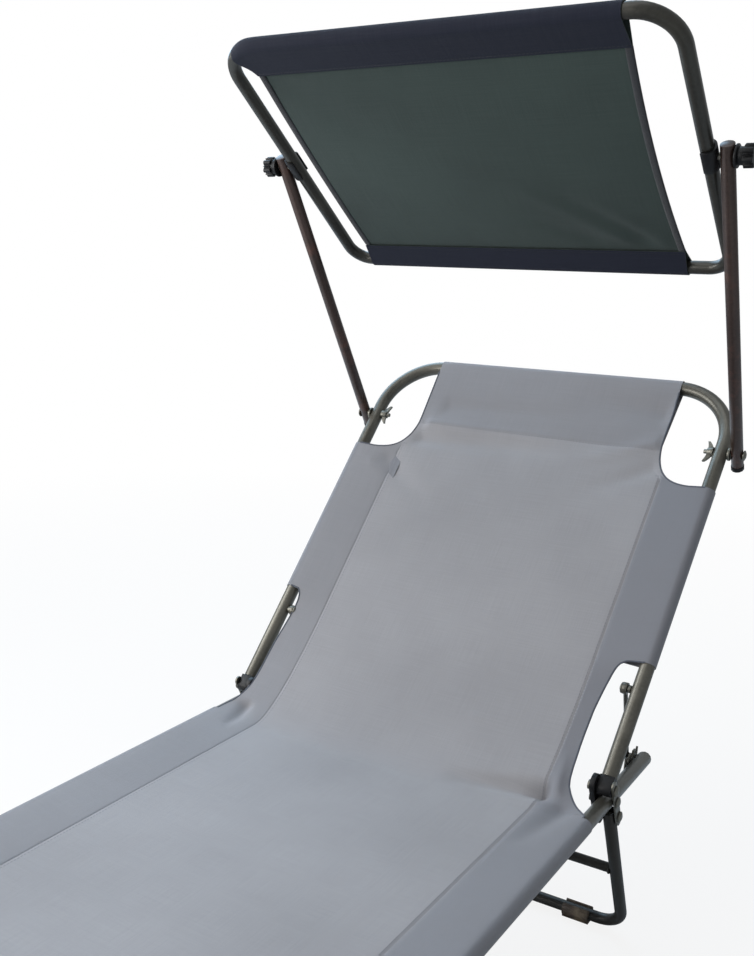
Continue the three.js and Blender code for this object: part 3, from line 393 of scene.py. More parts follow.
class Graph:
    """A short way to fill a node tree."""

    def __init__(self, tree: bpy.types.NodeTree) -> None:
        """Args:
            tree: the tree to fill.
        """
        self.tree = tree

    def add(self, kind: str, **settings: object) -> bpy.types.Node:
        """Args:
            kind: the node's type.
            settings: its properties.

        Returns:
            The new node.
        """
        node = self.tree.nodes.new(kind)
        for name, value in settings.items():
            setattr(node, name, value)
        return node

    def link(self, source: bpy.types.NodeSocket, target: bpy.types.NodeSocket) -> None:
        """Links an output to an input.

        Args:
            source: the output.
            target: the input.
        """
        self.tree.links.new(source, target)

    def noise(self, place: bpy.types.NodeSocket, scale: float, detail: float = 3.0,
              rough: float = 0.5) -> bpy.types.NodeSocket:
        """Args:
            place: the coordinates.
            scale: waves to the metre.
            detail: octaves.
            rough: how strong the fine ones are.

        Returns:
            The noise's value.
        """
        node = self.add("ShaderNodeTexNoise")
        node.inputs["Scale"].default_value = scale
        node.inputs["Detail"].default_value = detail
        node.inputs["Roughness"].default_value = rough
        self.link(place, node.inputs["Vector"])
        return node.outputs["Fac"]

    def stretch(self, place: bpy.types.NodeSocket, scale: Sequence[float]) -> bpy.types.NodeSocket:
        """Args:
            place: the coordinates.
            scale: the factor on each axis.

        Returns:
            The scaled coordinates.
        """
        node = self.add("ShaderNodeMapping")
        node.inputs["Scale"].default_value = scale
        self.link(place, node.inputs["Vector"])
        return node.outputs["Vector"]

    def span(self, value: bpy.types.NodeSocket, low: float, high: float, to_low: float,
             to_high: float) -> bpy.types.NodeSocket:
        """Maps a range of values to another and clamps it there.

        Args:
            value: the value.
            low: the range's start.
            high: its end.
            to_low: what the start becomes.
            to_high: what the end becomes.

        Returns:
            The mapped value.
        """
        node = self.add("ShaderNodeMapRange")
        for name, number in (("From Min", low), ("From Max", high), ("To Min", to_low), ("To Max", to_high)):
            node.inputs[name].default_value = number
        self.link(value, node.inputs["Value"])
        return node.outputs["Result"]

    def maths(self, operation: str, first: object, second: object = 0.0) -> bpy.types.NodeSocket:
        """Args:
            operation: the node's operation.
            first: a socket or a number.
            second: a socket or a number.

        Returns:
            The result.
        """
        node = self.add("ShaderNodeMath", operation=operation)
        for socket, value in zip(node.inputs, (first, second)):
            if isinstance(value, bpy.types.NodeSocket):
                self.link(value, socket)
            else:
                socket.default_value = value
        return node.outputs[0]

    def mix(self, share: bpy.types.NodeSocket, first: object, second: object,
            blend: str = "MIX") -> bpy.types.NodeSocket:
        """Mixes two colours.

        Args:
            share: how much of the second.
            first: a socket or a colour.
            second: a socket or a colour.
            blend: the way that they are mixed.

        Returns:
            The mixed colour.
        """
        node = self.add("ShaderNodeMix", data_type="RGBA", blend_type=blend)
        self.link(share, node.inputs["Factor"])
        for name, value in (("A", first), ("B", second)):
            socket = next(s for s in node.inputs if s.name == name and s.type == "RGBA")
            if isinstance(value, bpy.types.NodeSocket):
                self.link(value, socket)
            else:
                socket.default_value = value
        return next(s for s in node.outputs if s.type == "RGBA")

    def bump(self, height: bpy.types.NodeSocket, depth: float,
             strength: bpy.types.NodeSocket) -> bpy.types.NodeSocket:
        """Args:
            height: the height from 0 to 1.
            depth: how deep 1 is.
            strength: the bump's strength.

        Returns:
            The bent normal.
        """
        node = self.add("ShaderNodeBump")
        node.inputs["Distance"].default_value = depth
        self.link(strength, node.inputs["Strength"])
        self.link(height, node.inputs["Height"])
        return node.outputs["Normal"]

    def find(self, kind: str) -> bpy.types.Node:
        """Returns the tree's own node of a type, such as its shader or its output."""
        return next(n for n in self.tree.nodes if n.type == kind)

    def blend(self, share: bpy.types.NodeSocket, first: bpy.types.Node, second: bpy.types.Node,
              output: bpy.types.Node) -> None:
        """Mixes two shaders into the tree's output.

        Args:
            share: how much of the second.
            first: a shader.
            second: a shader.
            output: the output.
        """
        node = self.add("ShaderNodeMixShader")
        self.link(share, node.inputs[0])
        self.link(first.outputs[0], node.inputs[1])
        self.link(second.outputs[0], node.inputs[2])
        self.link(node.outputs[0], output.inputs["Surface"])


def new_group(name: str, inputs: Sequence[tuple[str, str]], outputs: Sequence[tuple[str, str]]
              ) -> tuple[Graph, bpy.types.Node, bpy.types.Node]:
    """Makes an empty node group.

    Args:
        name: its name.
        inputs: name and socket type of each input.
        outputs: name and socket type of each output.

    Returns:
        The group's graph, its input node and its output node.
    """
    tree = bpy.data.node_groups.new(name, "ShaderNodeTree")
    for direction, sockets in (("INPUT", inputs), ("OUTPUT", outputs)):
        for label, kind in sockets:
            tree.interface.new_socket(name=label, in_out=direction, socket_type=kind)
    graph = Graph(tree)
    return graph, graph.add("NodeGroupInput"), graph.add("NodeGroupOutput")


FLOAT, VECTOR = "NodeSocketFloat", "NodeSocketVector"
CLOUD_SCALE, FINE_SCALE, PATCH_SCALE = 9.0, 320.0, 26.0
CLOUD_SHARE = 0.75
DUST_RANGE = (0.52, 0.76)
GRAIN_DEPTH = 0.1 * MM
WEAVE_DEPTH = 0.4 * MM
SLUB_SCALES = ((900.0, 14.0, 1.0), (14.0, 900.0, 1.0))
THREAD_ROUNDNESS = 0.6


def coat_group() -> bpy.types.NodeTree:
    """Makes the group for sprayed and moulded surfaces: cloudy tone, fine grain, dust and its normal."""
    graph, given, result = new_group(
        "surface", [("Place", VECTOR), ("Grain", FLOAT), ("Depth", FLOAT)],
        [("Tone", FLOAT), ("Dust", FLOAT), ("Normal", VECTOR)])
    place = given.outputs["Place"]
    cloud = graph.maths("MULTIPLY", graph.noise(place, CLOUD_SCALE, 4.0), CLOUD_SHARE)
    fine = graph.maths("MULTIPLY", graph.noise(place, FINE_SCALE, 2.0), 1.0 - CLOUD_SHARE)
    graph.link(graph.maths("ADD", cloud, fine), result.inputs["Tone"])
    patches = graph.noise(place, PATCH_SCALE, 6.0, 0.65)
    graph.link(graph.span(patches, *DUST_RANGE, 0.0, 1.0), result.inputs["Dust"])
    grain = graph.noise(place, 1.0, 2.0)
    graph.link(given.outputs["Grain"], grain.node.inputs["Scale"])
    graph.link(graph.bump(grain, GRAIN_DEPTH, given.outputs["Depth"]), result.inputs["Normal"])
    return graph.tree


def weave_group() -> bpy.types.NodeTree:
    """Makes the group for plain woven cloth, with the flat cut in metres as its place."""
    graph, given, result = new_group(
        "weave", [("Place", VECTOR), ("Pitch", FLOAT), ("Depth", FLOAT)],
        [("Thread", FLOAT), ("Slub", FLOAT), ("Normal", VECTOR)])
    split = graph.add("ShaderNodeSeparateXYZ")
    graph.link(given.outputs["Place"], split.inputs[0])
    waves = []
    for axis in ("X", "Y"):
        turns = graph.maths("DIVIDE", split.outputs[axis], given.outputs["Pitch"])
        waves.append(graph.maths("SINE", graph.maths("MULTIPLY", turns, math.pi)))
    crossing = graph.maths("MULTIPLY", waves[0], waves[1])
    pick = graph.add("ShaderNodeMix", data_type="FLOAT")
    graph.link(graph.maths("GREATER_THAN", crossing, 0.0), pick.inputs["Factor"])
    for wave, name in zip(waves, ("A", "B")):
        thread = graph.maths("POWER", graph.maths("ABSOLUTE", wave), THREAD_ROUNDNESS)
        graph.link(thread, pick.inputs[name])
    height = pick.outputs["Result"]
    graph.link(height, result.inputs["Thread"])
    streaks = [graph.noise(graph.stretch(given.outputs["Place"], scale), 1.0, 2.0) for scale in SLUB_SCALES]
    slub = graph.maths("MULTIPLY", graph.maths("ADD", *streaks), 0.5)
    graph.link(slub, result.inputs["Slub"])
    graph.link(graph.bump(height, WEAVE_DEPTH, given.outputs["Depth"]), result.inputs["Normal"])
    return graph.tree


@dataclass(frozen=True)
class Finish:
    """The colours and gloss of a sprayed, plated or moulded surface."""

    name: str
    base: str
    shade: str
    dust: str
    roughness: tuple[float, float]
    metallic: float = 0.0
    grain: float = 900.0
    depth: float = 0.25
    dust_share: float = 0.25
    coat: float = 0.0
    specular: float = 0.5


@dataclass(frozen=True)
class Cloth:
    """The colours of a woven cloth."""

    name: str
    base: str
    shade: str
    # Colour for two-layered cloth, painted darker: painted shade standing in for the light that a single
    # layer lets through.
    double: str
    pitch: float = 0.62 * MM
    depth: float = 0.35
    roughness: float = 0.82
    sheen: float = 0.25
    specular: float = 0.5


FINISHES = {
    Coat.STEEL: Finish("frame_paint", "66635a", "4b4942", "878479", (0.34, 0.5), 0.55, coat=0.15),
    Coat.ARM: Finish("arm_paint", "4a3a34", "30241f", "774a3c", (0.3, 0.46), 0.4, dust_share=0.5, coat=0.2),
    Coat.LEG: Finish("leg_paint", "35332f", "26241f", "55524a", (0.4, 0.58), 0.4),
    Coat.ZINC: Finish("plated_steel", "7c7a71", "63615a", "55534b", (0.38, 0.58), 0.8, 260.0, 0.3),
    Coat.BLACK: Finish("black_plastic", "101012", "0b0b0d", "1d1d1f", (0.42, 0.62), 0.0, 1500.0, 0.35,
                       specular=0.3),
    # The pads carry pale tan patches at random places, laid by noise at up to seven tenths.
    Coat.PAD: Finish("pad_plastic", "4a3c31", "33291f", "93836c", (0.5, 0.7), 0.0, 700.0, 0.3, 0.7),
}
# The canopy's tube shares the frame's steel paint; this darker copy of it is painted shade.
CANOPY_FRAME_SHADE = Finish("frame_paint_shaded", "3e3c35", "2b2a26", "5a584d", (0.34, 0.5), 0.5, coat=0.2)
SLING_CLOTH = Cloth("sling_cloth", "969598", "8a898c", "73747a")
# The outer face is painted navy, far darker than the grey-blue cloth: painted shade, as that face shows in
# shade on the hems.
CANOPY_OUTER_SHADE = Cloth("canopy_outer_painted_shade", "1a1f31", "161a28", "191d2c", 0.7 * MM, roughness=0.84, sheen=0.03,
                     specular=0.3)
CANOPY_INNER = Cloth("canopy_inner", "384541", "303b38", "313c38", 0.7 * MM, roughness=0.85, sheen=0.06,
                     specular=0.35)
THREAD = Finish("thread", "7b7c83", "707178", "84858c", (0.6, 0.8), 0.0, 1800.0, 0.4)
# The rolled edges of the sling are real hems; their colour, darker than the sling, is painted shade along the
# rim.
EDGE_ROLL_SHADE = Cloth("edge_roll_painted_shade", "484c57", "3e424c", "484c57", 0.5 * MM, 0.4)
CANOPY_TAPE = Cloth("canopy_tape", "12151d", "0e1017", "12151d", 0.5 * MM, 0.4)
CANOPY_THREAD = Finish("canopy_thread", "1d212d", "171b25", "2a2f3c", (0.6, 0.8), 0.0, 1800.0, 0.4)


class Paintshop:
    """Makes each material once and hands it out."""

    TONE_RANGE = (0.35, 0.65)
    COAT_ROUGHNESS = 0.25
    CLOUD_RANGE = (0.3, 0.7)
    # The gaps between threads are painted darker: painted shade where the threads shade each other.
    GAP_WIDTH, GAP_DARK = 0.55, 0.16
    SLUB_RANGE, SLUB_DARK = (0.35, 0.65), 0.12
    GAP_SHARE, GAP_TONE = 0.9, (0.45, 0.45, 0.47, 1.0)
    ROUGH_RANGE, ROUGH_SPREAD = (0.3, 0.7), 0.08
    SHEEN_ROUGHNESS = 0.5

    def __init__(self) -> None:
        """Builds the node groups that the materials share."""
        self.coat = coat_group()
        self.weave = weave_group()
        self.made: dict[str, bpy.types.Material] = {}

    def _start(self, name: str) -> tuple[bpy.types.Material, Graph, bpy.types.Node]:
        """Args:
            name: the material's name.

        Returns:
            A new material, its graph and its shader.
        """
        material = bpy.data.materials.new(name)
        material.use_nodes = True
        graph = Graph(material.node_tree)
        self.made[name] = material
        return material, graph, graph.find("BSDF_PRINCIPLED")

    def _group(self, graph: Graph, tree: bpy.types.NodeTree, **values: float) -> bpy.types.Node:
        """Args:
            graph: the graph that takes the group.
            tree: the group.
            values: its number inputs.

        Returns:
            The group's node.
        """
        node = graph.add("ShaderNodeGroup")
        node.node_tree = tree
        for name, value in values.items():
            node.inputs[name].default_value = value
        return node

    def hard(self, finish: Finish) -> bpy.types.Material:
        """Makes a sprayed, plated or moulded surface.

        Args:
            finish: its colours and gloss.

        Returns:
            The material.
        """
        if finish.name in self.made:
            return self.made[finish.name]
        material, graph, shader = self._start(finish.name)
        place = graph.add("ShaderNodeTexCoord").outputs["Object"]
        surface = self._group(graph, self.coat, Grain=finish.grain, Depth=finish.depth)
        graph.link(place, surface.inputs["Place"])
        tone = graph.span(surface.outputs["Tone"], *self.TONE_RANGE, 0.0, 1.0)
        painted = graph.mix(tone, linear(finish.base), linear(finish.shade))
        dusty = graph.maths("MULTIPLY", surface.outputs["Dust"], finish.dust_share)
        graph.link(graph.mix(dusty, painted, linear(finish.dust)), shader.inputs["Base Color"])
        rough = graph.span(surface.outputs["Dust"], 0.0, 1.0, *finish.roughness)
        graph.link(rough, shader.inputs["Roughness"])
        graph.link(surface.outputs["Normal"], shader.inputs["Normal"])
        shader.inputs["Metallic"].default_value = finish.metallic
        shader.inputs["Coat Weight"].default_value = finish.coat
        shader.inputs["Coat Roughness"].default_value = self.COAT_ROUGHNESS
        shader.inputs["Specular IOR Level"].default_value = finish.specular
        return material

    def cloth(self, cloth: Cloth) -> bpy.types.Material:
        """Makes a woven cloth that reads its flat cut from the piece's UV map.

        Args:
            cloth: its colours and weave.

        Returns:
            The material.
        """
        if cloth.name in self.made:
            return self.made[cloth.name]
        material, graph, shader = self._start(cloth.name)
        place = graph.add("ShaderNodeUVMap", uv_map="cut").outputs["UV"]
        threads = self._group(graph, self.weave, Pitch=cloth.pitch, Depth=cloth.depth)
        graph.link(place, threads.inputs["Place"])
        body = graph.add("ShaderNodeTexCoord").outputs["Object"]
        tone = graph.span(graph.noise(body, 5.0, 5.0, 0.55), *self.CLOUD_RANGE, 0.0, 1.0)
        dyed = graph.mix(tone, linear(cloth.base), linear(cloth.shade))
        # Painted shade: the cloth darkens towards its two-layer colour by the share stored on each vertex.
        doubled_and_shaded = graph.add("ShaderNodeAttribute", attribute_name="double").outputs["Fac"]
        layer_shaded = graph.mix(doubled_and_shaded, dyed, linear(cloth.double))
        # Painted shade in the gaps between threads, added to the slub's streaks of tone, which are the
        # cloth's own.
        gap = graph.span(threads.outputs["Thread"], 0.0, self.GAP_WIDTH, self.GAP_DARK, 0.0)
        slub = graph.span(threads.outputs["Slub"], *self.SLUB_RANGE, 0.0, self.SLUB_DARK)
        slub_and_gap_shade = graph.maths("ADD", gap, slub)
        slubbed_and_shaded = graph.mix(slub_and_gap_shade, layer_shaded, linear(cloth.shade))
        deep = graph.mix(graph.maths("MULTIPLY", slub_and_gap_shade, self.GAP_SHARE), slubbed_and_shaded, self.GAP_TONE, "MULTIPLY")
        graph.link(deep, shader.inputs["Base Color"])
        graph.link(threads.outputs["Normal"], shader.inputs["Normal"])
        low, high = cloth.roughness - self.ROUGH_SPREAD, cloth.roughness + self.ROUGH_SPREAD
        rough = graph.span(threads.outputs["Slub"], *self.ROUGH_RANGE, low, high)
        graph.link(rough, shader.inputs["Roughness"])
        shader.inputs["Specular IOR Level"].default_value = cloth.specular
        shader.inputs["Sheen Weight"].default_value = cloth.sheen
        shader.inputs["Sheen Roughness"].default_value = self.SHEEN_ROUGHNESS
        return material


SHOP = Paintshop()


def dress(piece: bpy.types.Object, *materials: bpy.types.Material) -> bpy.types.Object:
    """Gives a piece its materials in place of those it has.

    Args:
        piece: the object.
        materials: one for each slot.

    Returns:
        The same object.
    """
    piece.data.materials.clear()
    for material in materials:
        piece.data.materials.append(material)
    return piece


def fit(piece: bpy.types.Object, body: str, coat: Coat, *nodes: str) -> bpy.types.Object:
    """Hangs a rigid piece on its body in place of its CAD nodes.

    Args:
        piece: the object.
        body: the body's name.
        coat: the material slot that its finish comes from; not used.
        nodes: the CAD nodes that it stands for.

    Returns:
        The same object.
    """
    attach(piece, body)
    if nodes:
        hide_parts(*nodes)
    LOG.info("%s: on %s, for %s", piece.name, body, ", ".join(nodes) or "no node")
    return piece


# Sheets


@dataclass
class Row:
    """One line of a sheet across the lounger."""

    place: Vector
    right: float
    left: float
    zone: str = ""
    sag: float = 0.0
    lift: float = 0.0
    left_lift: Optional[float] = None
    hem: float = 0.0
    # Share of painted shade for two-layered cloth in this row.
    doubled_and_shaded: float = 0.0
    along: float = 0.0
    normal: Vector = field(default_factory=lambda: Vector((0.0, 0.0, 1.0)))


@dataclass(frozen=True)
class Fold:
    """A soft ridge or valley in a sheet, between two points given as (across, along)."""

    start: tuple[float, float]
    end: tuple[float, float]
    width: float
    height: float
    fade_share: float = 0.75

    def height_at(self, x: float, v: float) -> float:
        """Args:
            x: place across the sheet.
            v: place along it.

        Returns:
            How far the fold lifts the cloth there.
        """
        (ax, av), (bx, bv) = self.start, self.end
        dx, dv = bx - ax, bv - av
        share = ((x - ax) * dx + (v - av) * dv) / (dx * dx + dv * dv)
        near = min(max(share, 0.0), 1.0)
        gap = math.hypot(x - ax - near * dx, v - av - near * dv)
        fade = 1.0 - self.fade_share * near
        return self.height * fade * math.exp(-((gap / self.width) ** 2))


@dataclass(frozen=True)
class SleeveSize:
    """How cloth runs round a tube and back to its seam."""

    radius: float
    hem: float
    flap: float = 12 * MM
    under: float = 1.3 * MM
    arc_steps: int = 11
    line_steps: int = 4

    @property
    def turn(self) -> float:
        """Returns the angle at the tube from the line to its seam to the point where the cloth leaves it."""
        return math.acos(self.radius / self.hem)

    @property
    def touch(self) -> tuple[float, float]:
        """Returns where the upper layer meets the tube, as distance from its axis and height."""
        return -self.radius * math.cos(self.turn), self.radius * math.sin(self.turn)

    def wrap(self) -> list[tuple[float, float]]:
        """Returns the points after the upper touching point: round the tube and back under to the flap."""
        first = math.pi - self.turn
        points = []
        for i in range(1, self.arc_steps + 1):
            angle = first - 2 * first * i / self.arc_steps
            points.append((self.radius * math.cos(angle), self.radius * math.sin(angle)))
        away, height = self.touch
        for i in range(1, self.line_steps + 1):
            share = i / self.line_steps
            points.append((away + (-self.hem - away) * share, -height + (height - self.under) * share))
        points.append((-self.hem - self.flap / 2, -self.under))
        points.append((-self.hem - self.flap, -self.under))
        return points


CLOTH = 0.9 * MM
SLACK = 0.8 * MM
BAND = SleeveSize(SIZES.tube + SLACK, 66 * MM)
END_BAND = SleeveSize(SIZES.tube + SLACK, 108 * MM)


def smooth(share: float) -> float:
    """Args:
        share: a number; outside 0 to 1 it is taken as the nearer end.

    Returns:
        It eased in and out.
    """
    t = min(max(share, 0.0), 1.0)
    return t * t * (3.0 - 2.0 * t)


def table(points: Sequence[tuple[float, float]], place: float) -> float:
    """Reads a table of places and values in between its points.

    Args:
        points: places, rising, and their values.
        place: the place to read at.

    Returns:
        The value.
    """
    if place <= points[0][0]:
        return points[0][1]
    for (a, low), (b, high) in zip(points, points[1:]):
        if place <= b:
            return low + (high - low) * (place - a) / (b - a)
    return points[-1][1]


class Sling:
    """A stretched sheet with a sleeve along each side rail."""

    SEAM_MARK = 204.0
    COLUMNS = (*(12.0 * i for i in range(13)), 153.0, 162.0, 171.0, 180.0, 188.0, 195.0, 200.5, 202.6,
               SEAM_MARK, 205.4, 207.6, 212.0, 218.0, 225.0, 232.0, 239.0, 246.0, 254.0)
    SEAM = SIZES.rail - BAND.hem
    PIVOT = 145 * MM
    MARGIN = 9 * MM
    GROOVE = (0.5 * MM, 1.5 * MM)
    GROOVE_WIDTH = 1.8 * MM
    GROOVE_FADE = 14 * MM
    HEM_DEPTH = 0.7 * MM
    HEM_FADE = 12 * MM
    # Share of painted shade on the two-layered side bands: 0.45 on the brighter left, 1 on the right.
    BAND_SHADE = (0.45, 1.0)
    BAND_EDGE = 1.5 * MM

    def __init__(self, name: str, rows: list[Row], cloth: bpy.types.Material,
                 folds: Sequence[Fold] = ()) -> None:
        """Args:
            name: the sheet's name.
            rows: its lines across, in order towards the foot end.
            cloth: its material.
            folds: ridges and valleys in the cloth.
        """
        self.name = name
        self.rows = rows
        self.material = cloth
        self.folds = folds
        away, self.top = BAND.touch
        self.edge = SIZES.rail + away
        self.nominal = [c * MM for c in self.COLUMNS] + [self.edge]
        self.wrap = [(SIZES.rail + x, n) for x, n in BAND.wrap()]
        self._measure()
        self.points: list[Vector] = []
        self.index: dict[tuple[int, int], int] = {}
        self.cut: list[tuple[float, float]] = []
        self.double: list[float] = []

    def _measure(self) -> None:
        """Sets each row's distance along the sheet and its outward normal."""
        rows = self.rows
        for i, row in enumerate(rows):
            if i:
                row.along = rows[i - 1].along + (row.place - rows[i - 1].place).length
            ahead = rows[min(i + 1, len(rows) - 1)].place
            behind = rows[max(i - 1, 0)].place
            row.normal = (ahead - behind).cross(Vector((1.0, 0.0, 0.0))).normalized()

    def _spread(self, nominal: float, half: float) -> float:
        """Moves a column to its place in a row whose edge is drawn in.

        Args:
            nominal: the column's place in a full row.
            half: the row's half width.

        Returns:
            The column's place across.
        """
        seam = min(self.SEAM, half - self.MARGIN)
        if nominal <= self.PIVOT:
            return nominal
        if nominal <= self.SEAM:
            return self.PIVOT + (nominal - self.PIVOT) * (seam - self.PIVOT) / (self.SEAM - self.PIVOT)
        return seam + (nominal - self.SEAM) * (half - seam) / (self.edge - self.SEAM)

    def _height(self, row: Row, x: float, nominal: float, side: int) -> float:
        """Works out how far the cloth stands over its row's line.

        Args:
            row: the row.
            x: the place across, without its sign.
            nominal: the column's place in a full row.
            side: 1 on the right, -1 on the left.

        Returns:
            The height.
        """
        middle = max(0.0, 1.0 - (x / self.SEAM) ** 2)
        hem = row.hem * self.HEM_DEPTH * smooth((row.right - x) / self.HEM_FADE)
        height = -row.sag * middle - hem
        if x > self.SEAM:
            lift = row.lift if side > 0 or row.left_lift is None else row.left_lift
            height += lift * self.top * (x - self.SEAM) / (self.edge - self.SEAM)
        seamed = smooth((row.right - self.SEAM) / self.GROOVE_FADE)
        near = math.exp(-(((nominal - self.SEAM) / self.GROOVE_WIDTH) ** 2))
        height -= self.GROOVE[side > 0] * seamed * near
        return height + sum(fold.height_at(side * x, row.along) for fold in self.folds)

    def _vertex(self, r: int, c: int, x: float, height: float, flat: float, double: float) -> None:
        """Adds a vertex of the grid.

        Args:
            r: its row.
            c: its column, negative on the left.
            x: its place across.
            height: its height over the row's line.
            flat: its place across the flat cut.
            double: the share of painted shade there, 1 where two layers lie on each other.
        """
        row = self.rows[r]
        self.index[r, c] = len(self.points)
        self.points.append(row.place + Vector((x, 0.0, 0.0)) + row.normal * height)
        self.cut.append((flat, row.along))
        self.double.append(double)

    def build(self) -> bpy.types.Object:
        """Returns:
            The sheet as a mesh object with its thickness.
        """
        for r, row in enumerate(self.rows):
            for c, nominal in enumerate(self.nominal):
                for side in (1, -1) if c else (1,):
                    half = row.right if side > 0 else row.left
                    x = self._spread(nominal, half)
                    height = self._height(row, x, nominal, side)
                    # Painted shade on the side bands where two layers lie, weaker on the left.
                    band_shade = self.BAND_SHADE[side > 0] * smooth((x - self.SEAM) / self.BAND_EDGE)
                    double = max(row.doubled_and_shaded, band_shade)
                    self._vertex(r, side * c, side * x, height, side * x, double)
            if row.zone:
                last = len(self.nominal) - 1
                before, flat = (self.edge, self.top), self.edge
                for k, (x, height) in enumerate(self.wrap, 1):
                    flat += math.hypot(x - before[0], height - before[1])
                    before = (x, height)
                    for side in (1, -1):
                        self._vertex(r, side * (last + k), side * x, height, side * flat, 1.0)
        return cloth_piece(self.name, self.points, self._faces(), self.cut, self.double, (self.material,))

    def _faces(self) -> list[tuple[int, ...]]:
        """Returns:
            The grid's faces, facing out.
        """
        faces = []
        inner = len(self.nominal) - 1
        outer = inner + len(self.wrap)
        for r in range(len(self.rows) - 1):
            sleeved = self.rows[r].zone and self.rows[r].zone == self.rows[r + 1].zone
            reach = outer if sleeved else inner
            for c in range(-reach, reach):
                corners = [(r, c), (r + 1, c), (r + 1, c + 1), (r, c + 1)]
                faces.append(tuple(self.index[k] for k in corners))
        return faces

    def line(self, column: int, first: int, last: int) -> list[Vector]:
        """Args:
            column: a column, negative on the left.
            first: the first row.
            last: the row after the last.

        Returns:
            The column's points.
        """
        return [self.points[self.index[r, column]] for r in range(first, last)]

    def across(self, row: int, reach: int) -> list[Vector]:
        """Args:
            row: a row.
            reach: the last column on each side.

        Returns:
            The row's points from left to right.
        """
        return [self.points[self.index[row, c]] for c in range(-reach, reach + 1)]

    @property
    def seam_column(self) -> int:
        """Returns the column that the side seam follows."""
        return self.COLUMNS.index(self.SEAM_MARK)

    @property
    def edge_column(self) -> int:
        """Returns the last column that every row has."""
        return len(self.nominal) - 1


def cloth_piece(name: str, points: Sequence[Vector], faces: Sequence[tuple[int, ...]],
                cut: Sequence[tuple[float, float]], double: Sequence[float],
                materials: Sequence[bpy.types.Material], offset: float = 0.0) -> bpy.types.Object:
    """Makes a sheet of cloth from its grid.

    Args:
        name: its name.
        points: its vertices.
        faces: its faces, facing out.
        cut: each vertex's place in the flat cut.
        double: the share of painted shade at each vertex, 1 where two layers lie on each other.
        materials: that of the outer face and, where it has its own, that of the inner face.
        offset: 0 to thicken both ways, -1 inwards.

    Returns:
        The sheet.
    """
    mesh = bpy.data.meshes.new(name)
    mesh.from_pydata([tuple(p) for p in points], [], faces)
    uv = mesh.uv_layers.new(name="cut")
    for loop in mesh.loops:
        uv.data[loop.index].uv = cut[loop.vertex_index]
    layers = mesh.attributes.new("double", "FLOAT", "POINT")
    layers.data.foreach_set("value", list(double))
    piece = bpy.data.objects.new(name, mesh)
    bpy.context.scene.collection.objects.link(piece)
    dress(piece, *materials)
    finer = piece.modifiers.new("finer", "SUBSURF")
    finer.levels = finer.render_levels = 1
    finer.boundary_smooth = "PRESERVE_CORNERS"
    shell = piece.modifiers.new("thickness", "SOLIDIFY")
    shell.thickness = CLOTH
    shell.offset = offset
    shell.material_offset = len(materials) - 1
    only(piece)
    bpy.ops.object.convert(target="MESH")
    bpy.ops.object.shade_smooth_by_angle(angle=math.radians(50.0))
    return piece


class Surface:
    """Finds points on a finished sheet."""

    REACH = 6 * MM

    def __init__(self, piece: bpy.types.Object) -> None:
        """Args:
            piece: the sheet.
        """
        mesh = piece.data
        self.tree = BVHTree.FromPolygons([v.co for v in mesh.vertices],
                                         [tuple(p.vertices) for p in mesh.polygons])

    def near(self, point: Vector, outward: Vector) -> tuple[Vector, Vector]:
        """Args:
            point: a point near the sheet.
            outward: which of its faces to meet.

        Returns:
            The point on that face and the face's normal.
        """
        start = point + outward * self.REACH
        place, normal, _, _ = self.tree.ray_cast(start, -outward, 2 * self.REACH)
        if place is None:
            place, normal, _, _ = self.tree.find_nearest(start)
        return place, normal


def resample(line: Sequence[Vector], step: float) -> list[tuple[Vector, Vector]]:
    """Divides a line into equal steps.

    Args:
        line: its points.
        step: the length of a step.

    Returns:
        Each step's middle and direction.
    """
    spots, carried = [], step / 2
    for a, b in zip(line, line[1:]):
        length = (b - a).length
        if not length:
            continue
        direction = (b - a) / length
        while carried < length:
            spots.append((a + direction * carried, direction))
            carried += step
        carried -= length
    return spots


class Stitching:
    """Rows of short stitches laid on a sheet, made as one piece."""

    LENGTH, WIDTH, HEIGHT, STEP, SUNK = 3.2 * MM, 0.75 * MM, 0.4 * MM, 4.6 * MM, 0.1 * MM
    SHAPE_SHARES = ((-0.5, 0.35, 0.0), (-0.25, 1.0, 0.85), (0.25, 1.0, 0.85), (0.5, 0.35, 0.0))

    def __init__(self, surface: Surface) -> None:
        """Args:
            surface: the sheet that they lie on.
        """
        self.surface = surface
        self.points: list[Vector] = []
        self.faces: list[tuple[int, ...]] = []

    def run(self, line: Sequence[Vector], outward: Vector) -> None:
        """Sews along a line.

        Args:
            line: the line's points.
            outward: the direction of the face that shows.
        """
        for place, direction in resample(line, self.STEP):
            spot, normal = self.surface.near(place, outward)
            if normal.dot(outward) < 0:
                normal = -normal
            across = direction.cross(normal).normalized()
            ahead = normal.cross(across).normalized()
            self._stitch(spot, ahead, across, normal)

    def _stitch(self, spot: Vector, ahead: Vector, across: Vector, up: Vector) -> None:
        """Adds one stitch, flat below and rounded above.

        Args:
            spot: its middle on the cloth.
            ahead: its direction.
            across: the direction over its width.
            up: the cloth's normal.
        """
        base = len(self.points)
        for share, width, height in self.SHAPE_SHARES:
            middle = spot + ahead * share * self.LENGTH
            half = across * (width * self.WIDTH / 2)
            low, high = middle - up * self.SUNK, middle + up * height * self.HEIGHT
            self.points += [low - half, low + half, high + half * 0.5, high - half * 0.5]
        for i in range(3):
            for j in range(4):
                a, b = base + 4 * i + j, base + 4 * i + (j + 1) % 4
                self.faces.append((a, a + 4, b + 4, b))
        self.faces.append((base, base + 1, base + 2, base + 3))
        self.faces.append((base + 15, base + 14, base + 13, base + 12))

    def build(self, name: str) -> bpy.types.Object:
        """Args:
            name: the piece's name.

        Returns:
            All the stitches as one piece.
        """
        return plain_piece(name, self.points, self.faces)


